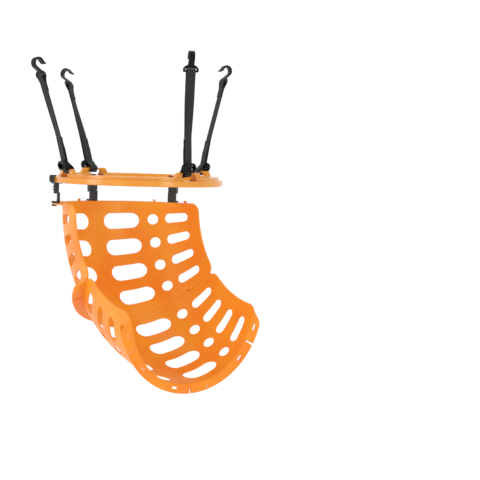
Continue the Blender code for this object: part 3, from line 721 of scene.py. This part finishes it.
def fill_face(shell, outline, holes, z, step=6.0, extra=()):
    """Fill a flat face between an outline and its holes (index loops) with good triangles."""
    loops = [outline] + holes
    coords, edges, ids = [], [], []
    for loop in loops:
        start = len(coords)
        for i in loop:
            coords.append(Vector(shell.points[i][:2]))
            ids.append(i)
        edges += [(start + k, start + (k + 1) % len(loop)) for k in range(len(loop))]
    polys = [[tuple(shell.points[i][:2]) for i in loop] for loop in loops]
    lo = np.min(np.array(polys[0]), axis=0)
    hi = np.max(np.array(polys[0]), axis=0)
    nx = max(2, round((hi[0] - lo[0]) / step))
    ny = max(2, round((hi[1] - lo[1]) / step))
    gx, gy = np.meshgrid(np.linspace(lo[0], hi[0], nx + 1)[1:-1],
                         np.linspace(lo[1], hi[1], ny + 1)[1:-1], indexing="ij")
    gx = gx + (np.arange(gy.shape[1]) % 2) * 0.5 * (hi[0] - lo[0]) / nx
    gx, gy = gx.ravel(), gy.ravel()
    keep = inside(gx, gy, polys[0])
    for poly in polys[1:]:
        keep &= ~inside(gx, gy, poly)
    for place in extra:
        coords.append(Vector(place))
        ids.append(None)
    rim = np.array([c for poly in polys for c in poly])
    for i in np.nonzero(keep)[0]:
        if np.min((rim[:, 0] - gx[i]) ** 2 + (rim[:, 1] - gy[i]) ** 2) > (0.42 * step) ** 2:
            coords.append(Vector((gx[i], gy[i])))
            ids.append(None)
    verts, _, faces, orig, _, _ = delaunay_2d_cdt(coords, edges, [], 0, 1e-7)
    index = []
    for v, source in zip(verts, orig):
        known = [s for s in source if ids[s] is not None]
        if known:
            index.append(ids[known[0]])
        else:
            index.append(shell.add([(v.x, v.y, z)])[0])
    centre = np.array([[sum(verts[i].x for i in f) / len(f), sum(verts[i].y for i in f) / len(f)]
                       for f in faces])
    keep = inside(centre[:, 0], centre[:, 1], polys[0])
    for poly in polys[1:]:
        keep &= ~inside(centre[:, 0], centre[:, 1], poly)
    for f, k in zip(faces, keep):
        if k:
            shell.faces.append(tuple(index[i] for i in f))


RIM = 0.75                     # rounding of the holes' rims


def flat_panel(lower, hand):
    """One panel drawn flat: x round the pipe, y along the bend, z over the inner surface."""
    shell = Shell()
    columns = []
    for place, rise, inner, outer in edge_stations(lower):
        columns.append(shell.add([place(d) + (z,) for d, z in section(rise, inner, outer)]))
    for a, b in zip(columns, columns[1:]):
        shell.bridge(a, b, closed=False)
    # The joint face at the back, and the two ends of the sweep.
    first, last = columns[0], columns[-1]
    for column in (first, last):
        outline = [Vector((shell.points[i][1], shell.points[i][2], 0)) for i in column]
        for tri in tessellate_polygon([outline]):
            shell.faces.append(tuple(column[i] for i in tri))
    y0, y1 = shell.points[first[0]][1], shell.points[last[0]][1]
    steps = 36
    rows = [y0 + (y1 - y0) * k / steps for k in range(1, steps)]
    inner_line = [first[0]] + shell.add([(SPLIT, y, 0.0) for y in rows]) + [last[0]]
    outer_line = [first[-1]] + shell.add([(SPLIT, y, WALL) for y in rows]) + [last[-1]]
    shell.bridge(inner_line, outer_line, closed=False)
    # Round-over of the joint's inner edge: columns of points close to it.
    inner_loop = [c[0] for c in columns] + inner_line[1:-1][::-1]
    outer_loop = [c[-1] for c in columns] + outer_line[1:-1][::-1]
    inner_holes, outer_holes = [], []
    for row in range(ROWS):
        beta = ROW_FIRST + ROW_PITCH * row
        for phi, half_length, half_width in HOLES:
            rings = []
            profile = [(RIM * (1 - math.sin(math.pi / 2 * k / 4)),
                        RIM * (1 - math.cos(math.pi / 2 * k / 4))) for k in range(5)]
            profile += [(d, WALL - z) for d, z in reversed(profile)]
            for grow, z in profile:
                rings.append(shell.add([p + (z,) for p in
                                        hole_loop(phi, half_length, half_width, beta, grow)]))
            for a, b in zip(rings, rings[1:]):
                shell.bridge(a, b)
            inner_holes.append(rings[0])
            outer_holes.append(rings[-1])
    fill_face(shell, inner_loop, inner_holes, 0.0,
              extra=[(SPLIT + off, y) for off in (0.12, 0.4, 0.7) for y in rows])
    fill_face(shell, outer_loop, outer_holes, WALL)
    mesh = shell.mesh("flat_panel")

    # Clip tabs on the upper flange and the rib along the back joint.
    adds, cuts = [], []
    for phi in TABS[hand]:
        rho = BEND_R + TAB_R * math.cos(math.radians(phi))
        wide, long = WALL_R0 / TAB_R, FLAT_Y / rho
        tee = rounded([(-2.0, 2.0), (-2.0, -3.0), (-5.0, -3.3), (-5.0, -5.2), (-1.6, -5.2),
                       (0, -4.2), (1.6, -5.2), (5.0, -5.2), (5.0, -3.3), (2.0, -3.0), (2.0, 2.0)],
                      [0, 0.6, 0.6, 0.7, 0.4, 0.8, 0.4, 0.7, 0.6, 0.6, 0], 3)
        loop = [(along_x(phi) + x * wide, SEAM * FLAT_Y + y * long) for x, y in tee]
        adds.append(prism([loop], TAB_R - 1.75 - WALL_R0, TAB_R + 1.75 - WALL_R0, 0.45, 3))
        mid = (SLOT_R[0] + SLOT_R[1]) / 2 - WALL_R0
        tall = (SLOT_R[1] - SLOT_R[0]) / 2
        box = rounded([(along_x(phi) - SLOT_HALF * wide, mid - tall),
                       (along_x(phi) + SLOT_HALF * wide, mid - tall),
                       (along_x(phi) + SLOT_HALF * wide, mid + tall),
                       (along_x(phi) - SLOT_HALF * wide, mid + tall)], 1.6, 4)
        end = BEND * FLAT_Y
        cut = turned(prism([box], -(end + 3.0), -(end - 5.2 * long), 0.0001, 1), XZ_PLANE)
        cuts.append(cut)
    if hand == "right":
        phi, wide, r_low, r_high = SLIT
        box = rounded([(along_x(phi) - wide, r_low - WALL_R0), (along_x(phi) + wide, r_low - WALL_R0),
                       (along_x(phi) + wide, r_high - WALL_R0),
                       (along_x(phi) - wide, r_high - WALL_R0)], 0.9, 4)
        end = BEND * FLAT_Y
        cuts.append(turned(prism([box], -(end + 3.0), -(end - 5.2), 0.0001, 1), XZ_PLANE))
    y_low = from_edge(SPLIT, 1.2, False)[1]
    y_high = from_edge(SPLIT, 1.2, True)[1]
    rib = rounded([(SPLIT + 0.02, 1.4), (SPLIT + RIB_THICK, 1.4), (SPLIT + RIB_THICK, RIB),
                   (SPLIT + 0.02, RIB)], [0, 0, 0.7, 0.5], 3)
    adds.append(turned(prism([rib], -y_high, -y_low, 0.05, 1, cuts=34), XZ_PLANE))
    mesh = combined(mesh, [("UNION", joined(adds)), ("DIFFERENCE", joined(cuts))])
    return mesh


def panel_mesh(flat, lower, left):
    """Bend the flat panel and carry its flat-frame normals along."""
    mesh = flat.copy()
    normals, loop_vert = corner_normals(mesh, 38.0, flat_boost=0.99999)
    points = np.empty(len(mesh.vertices) * 3)
    mesh.vertices.foreach_get("co", points)
    points = points.reshape(-1, 3)
    # Round over the inner edge of the back joint.
    r = 0.4
    t = np.clip(points[:, 0] - SPLIT, 0.0, r)
    fall = r - np.sqrt(np.maximum(r * r - (r - t) ** 2, 0.0))
    slope = np.where(t < r, -(r - t) / np.sqrt(np.maximum(r * r - (r - t) ** 2, 1e-3)), 0.0)
    low = points[:, 2] < 2.0
    points[:, 2] = np.where(low, fall + points[:, 2] * (1 - fall / 2), points[:, 2])
    face = (normals[:, 2] < -0.999) & (t[loop_vert] < r)
    tilt = np.stack([np.maximum(slope[loop_vert], -3.0), np.zeros(len(loop_vert)),
                     -np.ones(len(loop_vert))], axis=1)
    tilt /= np.linalg.norm(tilt, axis=1, keepdims=True)
    normals = np.where(face[:, None], tilt, normals)

    d = 0.02
    columns = []
    for k in range(3):
        step = np.zeros(3)
        step[k] = d
        columns.append((bent(points + step, lower, left) - bent(points - step, lower, left)) / (2 * d))
    jx, jy, jz = (c[loop_vert] for c in columns)
    out = (np.cross(jy, jz) * normals[:, :1] + np.cross(jz, jx) * normals[:, 1:2]
           + np.cross(jx, jy) * normals[:, 2:])
    sign = np.sign(np.einsum("ij,ij->i", np.cross(jx, jy), jz))[:, None]
    out = out * sign
    out /= np.maximum(np.linalg.norm(out, axis=1, keepdims=True), 1e-12)
    mesh.vertices.foreach_set("co", (bent(points, lower, left) * MM).ravel())
    mesh.update()
    flip = sign[0, 0] < 0
    if flip:
        # Faces turn round, and their corners with them.
        starts = np.empty(len(mesh.polygons), dtype=np.int64)
        totals = np.empty(len(mesh.polygons), dtype=np.int64)
        mesh.polygons.foreach_get("loop_start", starts)
        mesh.polygons.foreach_get("loop_total", totals)
        by_pair = {}
        for f, (s, n) in enumerate(zip(starts, totals)):
            for j in range(s, s + n):
                by_pair[(f, int(loop_vert[j]))] = out[j]
        mesh.flip_normals()
        flipped = np.empty(len(mesh.loops), dtype=np.int64)
        mesh.loops.foreach_get("vertex_index", flipped)
        out = np.array([by_pair[(f, int(flipped[j]))]
                        for f, (s, n) in enumerate(zip(starts, totals)) for j in range(s, s + n)])
    mesh.shade_smooth()
    mesh.normals_split_custom_set(out.tolist())
    return mesh


for lower in (False, True):
    for left in (True, False):
        flat = flat_panel(lower, "left" if left else "right")
        tag = "%s_%s" % ("lower" if lower else "upper", "left" if left else "right")
        mesh = panel_mesh(flat, lower, left)
        mesh.materials.clear()
        mesh.materials.append(chute_plastic)
        obj = link("panel_%s_skin" % tag, mesh)
        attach(obj, "chute")
        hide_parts("panel_" + tag)

# ---------------------------------------------------------------- gliders and hangers
half = CLAMP_WIDTH / 2
glider_profile = rounded(
    [(175.7, 7.8), (190.0, 7.8), (190.0, -5.8), (185.0, -10.0), (180.6, -10.0), (180.6, -15.5),
     (183.0, -16.1), (183.0, -17.3), (180.6, -18.0), (180.6, -21.5), (183.0, -22.1),
     (183.0, -23.3), (180.6, -24.0), (180.6, -31.5), (175.9, -31.5), (175.9, -28.4),
     (170.3, -28.4), (170.3, -9.9), (162.5, -9.9), (162.5, -7.85), (180.8, -7.85), (180.8, 5.35),
     (175.7, 5.35)],
    [1.0, 2.2, 1.6, 1.6, 0.8, 0.5, 0.4, 0.4, 0.5, 0.5, 0.4, 0.4, 0.5, 1.2, 0.6, 0.3, 0.6,
     0.3, 0.7, 0.7, 0.5, 0.7, 0.7], 3)
glider = turned(prism([glider_profile], -half, half, 0.3, 3), YZ_PLANE)
socket = turned(prism([rounded([(-7.1, 171.5), (7.1, 171.5), (7.1, 174.5), (-7.1, 174.5)], 0.5, 2)],
                      -34.0, -14.0, 0.0001, 1), Matrix.Identity(4))
thumb = turned(prism([rounded([(-5.6, -5.0), (5.6, -5.0), (5.6, 2.6), (-5.6, 2.6)], 2.6, 6)],
                     -190.9, -188.6, 0.4, 3), XZ_PLANE)
glider_mesh = combined(glider, [("DIFFERENCE", socket), ("DIFFERENCE", turned(
    prism([rounded([(-5.8, -3.6), (5.8, -3.6), (5.8, 4.4), (-5.8, 4.4)], 2.4, 6)],
          -192.0, -189.1, 0.3, 3), XZ_PLANE))])

FOOT_BOTTOM = TOP_Z + 0.1
hanger_profile = rounded(
    [(168.0, FOOT_BOTTOM), (185.0, FOOT_BOTTOM), (185.0, FOOT_BOTTOM + 3.5),
     (173.5, FOOT_BOTTOM + 3.5), (173.5, -31.4), (175.2, -30.4), (175.2, -28.8), (168.0, -28.8)],
    [0.7, 0.8, 1.2, 1.6, 0.8, 0.6, 0.5, 1.0], 4)
leg = turned(prism([hanger_profile], -9.6, 9.6, 0.3, 3), YZ_PLANE)
tongue = prism([rounded([(-6.7, 171.8), (6.7, 171.8), (6.7, 174.2), (-6.7, 174.2)], 0.6, 2)],
               -30.0, -15.0, 0.3, 2)
barb_top = TOP_Z - FLANGE - 0.7
neck = prism([rounded([(-1.35, 176.4), (1.35, 176.4), (1.35, 182.4), (-1.35, 182.4)], 0.4, 2)],
             barb_top - 1.2, FOOT_BOTTOM + 1.0, 0.05, 1)
barb_profile = rounded([(-5.0, barb_top - 3.4), (5.0, barb_top - 3.4), (6.2, barb_top - 0.5),
                        (6.2, barb_top), (-6.2, barb_top), (-6.2, barb_top - 0.5)],
                       [1.4, 1.4, 0.4, 0.3, 0.3, 0.4], 3)
barb = turned(prism([barb_profile], -5.2, 5.2, 0.4, 3), Matrix.Translation((0, 179.0, 0)) @ XZ_PLANE)
ring40 = [(5.4 * math.cos(math.tau * k / 40), -39.0 + 5.4 * math.sin(math.tau * k / 40))
          for k in range(40)]
ring40_small = [(3.2 * math.cos(math.tau * k / 40), -39.0 + 3.2 * math.sin(math.tau * k / 40))
                for k in range(40)]
dimple = turned(prism([ring40], -168.75, -160.0, 0.35, 3), XZ_PLANE)
hanger_mesh = combined(leg, [("UNION", joined([tongue, barb])), ("UNION", neck),
                             ("DIFFERENCE", dimple)])

for side, phi in CLAMPS:
    piece("glider_%s_body" % side, glider_mesh, around(phi), "chute", "glider_" + side,
          clamp_plastic)
    piece("hanger_%s_body" % side, hanger_mesh, around(phi), "chute", "hanger_" + side,
          clamp_plastic)


# ---------------------------------------------------------------- straps, sliders, hooks
class Strap:
    """Frame of one strap: from its lug's bar up to the lower bar of its hook."""

    def __init__(self, phi, shift, slot, low_turn, top_turn):
        p = math.radians(phi)
        out = Vector((math.sin(p), math.cos(p), 0))
        side = Vector((math.cos(p), -math.sin(p), 0))
        self.foot = out * LUG_R + side * shift + Vector((0, 0, BAR_Z))
        reach = Vector(slot) - self.foot
        self.up = reach.normalized()
        self.length = reach.length - SLOT_ABOVE_BAR
        self.side = (side - self.up * side.dot(self.up)).normalized()
        self.low_turn = math.radians(low_turn)
        self.top_turn = math.radians(top_turn)

    def turn(self, s):
        last = self.length - 34.0
        if s <= 66.0:
            return self.low_turn
        if s >= last:
            return self.top_turn
        return self.low_turn + (self.top_turn - self.low_turn) * smooth_step((s - 66.0) / (last - 66.0))

    def axes(self, s):
        wide = Matrix.Rotation(self.turn(s), 3, self.up) @ self.side
        return wide, wide.cross(self.up), self.up

    def frame(self, s):
        wide, inward, up = self.axes(s)
        rot = Matrix((wide, inward, up)).transposed()
        return Matrix.Translation(self.foot + self.up * s) @ rot.to_4x4()


def tangent_angle(point, radius, side):
    reach = math.hypot(*point)
    return math.atan2(point[1], point[0]) + side * math.acos(radius / reach)


def front_leg():
    """Where the run leaves the front of the loop, and its direction, as (inward, up)."""
    touch = math.pi - tangent_angle((HEM_LAYER, 78.0), LOOP_R, -1)
    leave = Vector((LOOP_R * math.cos(touch), LOOP_R * math.sin(touch)))
    return leave, (Vector((-HEM_LAYER, 78.0)) - leave).normalized()


def run_at(s):
    """Inward place of the run at height s."""
    leave, along = front_leg()
    return leave.x + along.x / along.y * (s - leave.y)


def webbing_path(length):
    """The webbing's centreline as (inward, up) points, finely spaced."""
    path = []

    def straight(a, b, step):
        count = max(1, round(math.dist(a, b) / step))
        for k in range(count):
            path.append((a[0] + (b[0] - a[0]) * k / count, a[1] + (b[1] - a[1]) * k / count))

    def arc(centre, radius, start, end, steps):
        for k in range(steps + 1):
            t = start + (end - start) * k / steps
            path.append((centre[0] + radius * math.cos(t), centre[1] + radius * math.sin(t)))

    leave, along = front_leg()
    join = (run_at(MEET) + SPREAD, MEET)
    touch = tangent_angle(join, LOOP_R, -1)
    tail = [(run_at(TAIL_END) + LAYER, TAIL_END), (run_at(58.0) + LAYER, 58.0),
            (run_at(47.0) + SPREAD, 47.0), join]
    for a, b in zip(tail, tail[1:]):
        straight(a, b, 3.0)
    straight(join, (LOOP_R * math.cos(touch), LOOP_R * math.sin(touch)), 1.6)
    arc((0, 0), LOOP_R, touch, math.atan2(leave.y, leave.x) - math.tau, 28)
    straight(tuple(leave), (-HEM_LAYER, 78.0), 3.0)
    straight((-HEM_LAYER, 78.0), (-HEM_LAYER, length - 14.0), 3.0)
    over = tangent_angle((-HEM_LAYER, -14.0), EYE_R, -1)
    start = (EYE_R * math.cos(over), length + EYE_R * math.sin(over))
    straight((-HEM_LAYER, length - 14.0), start, 1.5)
    arc((0, length), EYE_R, over + math.tau, -math.pi - over, 22)
    straight((-start[0], start[1]), (HEM_LAYER, length - 14.0), 1.5)
    straight((HEM_LAYER, length - 14.0), (HEM_LAYER, length - 32.0), 2.0)
    path.append((HEM_LAYER, length - 32.0))
    return path


def softened(path, passes=2):
    """Round the small kinks of the centreline; its ends stay."""
    pts = [Vector(p) for p in path]
    for _ in range(passes):
        pts = [pts[0]] + [pts[i] * 0.5 + (pts[i - 1] + pts[i + 1]) * 0.25
                          for i in range(1, len(pts) - 1)] + [pts[-1]]
    return pts


def ribbon_section():
    """Outline of the webbing across: thin, with full round edges."""
    w, h = WEB_WIDTH / 2, WEB / 2
    out = []
    for sign in (1, -1):
        for k in range(5):
            t = -math.pi / 2 + math.pi * k / 4
            out.append((sign * (w - h + h * math.cos(t)), sign * h * math.sin(t)))
        out += [(sign * (w - h) * f, sign * h) for f in (0.66, 0.33, 0.0, -0.33, -0.66)]
    return out


SECTION_POINTS = ribbon_section()


def webbing_mesh(strap):
    path = softened(webbing_path(strap.length))
    shell = Shell()
    rings, runs = [], []
    run = 0.0
    for i, p in enumerate(path):
        a, b = path[max(i - 1, 0)], path[min(i + 1, len(path) - 1)]
        along = (b - a).normalized()
        normal2 = Vector((-along.y, along.x))
        wide, into, up = strap.axes(p.y)
        if i:
            run += (p - path[i - 1]).length
        at = strap.foot + up * p.y + into * p.x
        normal = into * normal2.x + up * normal2.y
        ring = []
        for cx, cz in SECTION_POINTS:
            # rolled selvedge: slightly fuller at the very edges
            full = 1.0 + 0.05 * smooth_step((abs(cx) - 7.5) / 1.5)
            ring.append(at + wide * cx + normal * cz * full)
        rings.append(shell.add(ring))
        runs.append(run)
    for a, b in zip(rings, rings[1:]):
        shell.bridge(a, b)
    for ring in (rings[0], rings[-1]):
        n = len(SECTION_POINTS)
        # A single flat cap over the end.
        top = ring[5:10]
        shell.faces.append(tuple(ring))
    mesh = shell.mesh("webbing")
    ring_of = {}
    for k, ring in enumerate(rings):
        for j, v in enumerate(ring):
            ring_of[v] = (runs[k], SECTION_POINTS[j][0])
    layer = mesh.uv_layers.new(name="weave")
    for loop in mesh.loops:
        layer.data[loop.index].uv = ring_of[loop.vertex_index]
    return mesh


def capsule(a, b, radius, normal, sides=6, bow=0.25):
    """A short stitch between two points, bowed out along normal."""
    shell = Shell()
    axis = (b - a).normalized()
    side = axis.cross(normal).normalized()
    rings = []
    steps = 5
    for k in range(steps + 1):
        t = k / steps
        size = radius * (0.45 + 0.55 * math.sin(math.pi * min(max(t, 0.08), 0.92)) ** 0.5)
        at = a.lerp(b, t) + normal * bow * math.sin(math.pi * t)
        rings.append(shell.add([at + side * size * math.cos(math.tau * j / sides)
                                + normal * size * math.sin(math.tau * j / sides)
                                for j in range(sides)]))
    for p, q in zip(rings, rings[1:]):
        shell.bridge(p, q)
    shell.faces.append(tuple(rings[0]))
    shell.faces.append(tuple(rings[-1]))
    return shell.mesh("stitch")


def hem_stitches(strap):
    """Thread on both faces of the sewn hem: a box with two bars across."""
    runs = []
    low, high = strap.length - 30.2, strap.length - 16.5
    for s in (low, (low + high) / 2, high):
        n = 6
        for k in range(n):
            w0 = -8.2 + 16.4 * k / n
            runs.append(((w0 + 0.35, s), (w0 + 16.4 / n - 0.35, s)))
    for w in (-8.2, 8.2):
        n = 5
        for k in range(n):
            s0 = low + (high - low) * k / n
            runs.append(((w, s0 + 0.35), (w, s0 + (high - low) / n - 0.35)))
    meshes = []
    for face in (-1, 1):
        depth = face * (HEM_LAYER + WEB / 2 + 0.02)
        for (w1, s1), (w2, s2) in runs:
            ends = []
            for w, s in ((w1, s1), (w2, s2)):
                wide, into, up = strap.axes(s)
                ends.append(strap.foot + up * s + wide * w + into * depth)
            wide, into, up = strap.axes(s1)
            meshes.append(capsule(ends[0], ends[1], 0.32, into * face))
    return joined(meshes)


# Slider: a domed oval frame in front of the webbing, with a bar behind it.  It lies on the
# front leg of the loop.  Its own frame: x along the width, y inward, z up the leg.
def lens(half_width, front, steps):
    """Domed oval: stacked outlines, from the flat back to the domed front."""
    shell = Shell()
    rings = []
    layers = [(0.7, 0.9), (0.2, 0.65), (0.0, 0.1), (0.0, -2.2)]
    for k in range(1, steps + 1):
        t = math.pi / 2 * k / steps
        layers.append((4.6 * (1 - math.cos(t)), -2.2 + (front + 2.2) * math.sin(t)))
    for d, y in layers:
        w, h = half_width - d, 10.5 - d
        outline = rounded([(-w, -h), (w, -h), (w, h), (-w, h)], 9.0 - d * 0.55, 10)
        rings.append(shell.add([(x, y, z) for x, z in outline]))
    for a, b in zip(rings, rings[1:]):
        shell.bridge(a, b)
    for ring in (rings[0], rings[-1]):
        shell.faces.append(tuple(ring))
    return shell.mesh("lens")


slider = lens(19.0, -8.0, 8)
channel = turned(prism([rounded([(-10.6, -1.1), (10.6, -1.1), (10.6, 3.0), (-10.6, 3.0)], 0.4, 2)],
                       -12.0, 12.0, 0.0001, 1), Matrix.Identity(4))
window = turned(prism([rounded([(-12.8, -5.0), (12.8, -5.0), (12.8, 5.0), (-12.8, 5.0)], 2.8, 6)],
                      -4.0, 10.0, 0.0001, 1), XZ_PLANE)
bar = prism([rounded([(-15, -0.5), (-12.8, -0.5), (-12.8, 1.05), (12.8, 1.05), (12.8, -0.5),
                      (15, -0.5), (15, 2.7), (-15, 2.7)], [0.1, 0.3, 0.3, 0.3, 0.3, 0.1, 1.2, 1.2], 3)],
            -2.2, 2.2, 0.5, 3)
slider_mesh = combined(slider, [("DIFFERENCE", channel), ("DIFFERENCE", window), ("UNION", bar)])


def slider_frame(strap):
    """Where the slider lies on its strap."""
    leave, along = front_leg()
    spot = leave + along * SLIDER_RISE
    wide, inward, up = strap.axes(spot.y)
    leg = inward * along.x + up * along.y
    face = inward * along.y - up * along.x
    return Matrix.Translation(strap.foot + inward * spot.x + up * spot.y) \
        @ Matrix((wide, face, leg)).transposed().to_4x4()


# Hook: a base with a slot for the webbing, and a flat band that leans back from it and
# curls over the rim, with a flared tip.
HOOK_THICK, HOOK_BAND = 4.2, 13.0
CURL, CROWN = 10.3, (0.3, 29.2)
hook_base = prism([rounded([(-16, -2), (16, -2), (16, 5.4), (13, 9.6), (7.6, 12.8),
                            (-7.6, 12.8), (-13, 9.6), (-16, 5.4)],
                           [1.8, 1.8, 2, 3, 2, 2, 3, 2], 5),
                   rounded([(-11.6, 2), (11.6, 2), (11.6, 5.2), (-11.6, 5.2)], 0.8, 3)],
                  -HOOK_THICK / 2, HOOK_THICK / 2, 0.9, 4)
turned(hook_base, XZ_PLANE)
centreline = [(0.0, 8.4), (-0.03, 9.8), (-0.2, 11.0), (-0.62, 12.2), (-1.27, 13.3), (-4.7, 18.3)]
for k in range(37):
    t = math.radians(215 - 200 * k / 36)
    centreline.append((CROWN[0] + CURL * math.cos(t), CROWN[1] + CURL * math.sin(t)))
centreline += [(10.9, 29.7), (11.7, 27.8), (12.45, 26.4), (13.4, 25.2), (14.7, 24.2), (16.2, 23.4)]
left_side, right_side = [], []
for i, (n, s) in enumerate(centreline):
    before = Vector(centreline[max(i - 1, 0)])
    after = Vector(centreline[min(i + 1, len(centreline) - 1)])
    along = (after - before).normalized()
    width = HOOK_THICK / 2 * (0.72 if i == len(centreline) - 1 else 1.0)
    left_side.append((n - along.y * width, s + along.x * width))
    right_side.append((n + along.y * width, s - along.x * width))
band = turned(prism([left_side + right_side[::-1]], -HOOK_BAND / 2, HOOK_BAND / 2, 0.9, 4), YZ_PLANE)
hook_mesh = combined(hook_base, [("UNION", band)])

for name, phi, shift, slot, low_turn, top_turn in STRAPS:
    strap = Strap(phi, shift, slot, low_turn, top_turn)
    web = piece("webbing_" + name, webbing_mesh(strap), None, "strap_" + name, "strap_" + name,
                webbing, 50.0)
    sewn = piece("hem_stitches_" + name, hem_stitches(strap), None, "strap_" + name, None,
                 stitching, 60.0)
    piece("slider_%s_body" % name, slider_mesh, slider_frame(strap), "slider_" + name,
          "slider_" + name, hook_plastic)
    piece("hook_%s_body" % name, hook_mesh, strap.frame(strap.length), "hook_" + name,
          "hook_" + name, hook_plastic)

# ---------------------------------------------------------------- stage
def stage_material(name, value, glow):
    n = Nodes(name)
    n.set(Base_Color=n.mix(n.noise(3.0, 2.0), (value, value, value, 1),
                           (value * 0.99, value * 0.99, value * 0.99, 1)))
    n.bsdf.inputs["Roughness"].default_value = 0.9
    n.bsdf.inputs["Specular IOR Level"].default_value = 0.1
    n.bsdf.inputs["Emission Color"].default_value = (1.0, 1.0, 1.0, 1)
    n.bsdf.inputs["Emission Strength"].default_value = glow
    return n.mat


FLOOR_Z = -0.60
shell = Shell()
profile = [(900.0, 0.0), (3900.0, 0.0)]
for k in range(1, 13):
    t = math.pi / 2 * k / 12
    profile.append((3900.0 + 1500.0 * math.sin(t), 1500.0 - 1500.0 * math.cos(t)))
profile.append((5400.0, 6000.0))
rows = [shell.add([(r * math.cos(math.tau * k / 96), r * math.sin(math.tau * k / 96), z)
                   for k in range(96)]) for r, z in profile]
for a, b in zip(rows, rows[1:]):
    shell.bridge(b, a)
shell.faces.append(tuple(rows[0]))
sweep = bpy.data.meshes.new("backdrop")
sweep.from_pydata([(x * MM, y * MM, z * MM) for x, y, z in shell.points], [], shell.faces)
sweep.shade_smooth()
sweep.materials.append(stage_material("backdrop_paper", 0.50, 0.58))
backdrop = link("backdrop", sweep)
backdrop.location = (0, 0, FLOOR_Z)

world = bpy.data.worlds.new("studio")
scene.world = world
world.use_nodes = True
world.node_tree.nodes["Background"].inputs["Color"].default_value = (1.0, 1.0, 1.0, 1)
world.node_tree.nodes["Background"].inputs["Strength"].default_value = 0.50

# Camera, solved from the photographed ring, hole rows and chute edges.
AZ, EL, ROLL = math.radians(-39.662), math.radians(3.729), math.radians(1.664)
forward = -Vector((math.sin(AZ) * math.cos(EL), -math.cos(AZ) * math.cos(EL), math.sin(EL)))
right = Vector((math.cos(AZ), math.sin(AZ), 0))
upward = right.cross(forward)
right2 = right * math.cos(ROLL) + upward * math.sin(ROLL)
upward2 = -right * math.sin(ROLL) + upward * math.cos(ROLL)
eye = (right2 * 216.667 - upward2 * 127.253 - forward * 3265.8) * MM
camera = bpy.data.objects.new("camera", bpy.data.cameras.new("camera"))
scene.collection.objects.link(camera)
camera.matrix_world = Matrix.Translation(eye) @ Matrix(
    (right2, upward2, -forward)).transposed().to_4x4()
camera.data.sensor_width = 36.0
camera.data.lens = 1525.97 / 480.0 * 36.0
camera.data.clip_start, camera.data.clip_end = 0.1, 60.0
scene.camera = camera


def softbox(name, location, target, size, power, color=(1, 1, 1)):
    data = bpy.data.lights.new(name, "AREA")
    data.shape = "RECTANGLE"
    data.size, data.size_y = size
    data.energy = power
    data.color = color
    obj = bpy.data.objects.new(name, data)
    scene.collection.objects.link(obj)
    obj.location = location
    obj.rotation_mode = "QUATERNION"
    obj.rotation_quaternion = (Vector(target) - Vector(location)).to_track_quat("-Z", "Y")
    return obj


centre = Vector((0, 0, -0.15))


def at(side, toward, height):
    """A place given from the camera's point of view: to the right, toward it, and up."""
    return centre + right * side + Vector((-forward.x, -forward.y, 0)).normalized() * toward \
        + Vector((0, 0, height))


softbox("key", at(-2.0, 1.3, 0.9), centre, (0.9, 2.0), 20.0)
softbox("fill", at(1.6, 1.8, 0.6), centre, (0.6, 1.9), 8.0)
softbox("top", at(0.2, -0.2, 2.2), centre, (1.8, 1.8), 10.0)

scene.view_settings.view_transform = "Standard"
scene.view_settings.look = "None"
scene.view_settings.exposure = 0.0
scene.view_settings.gamma = 1.0
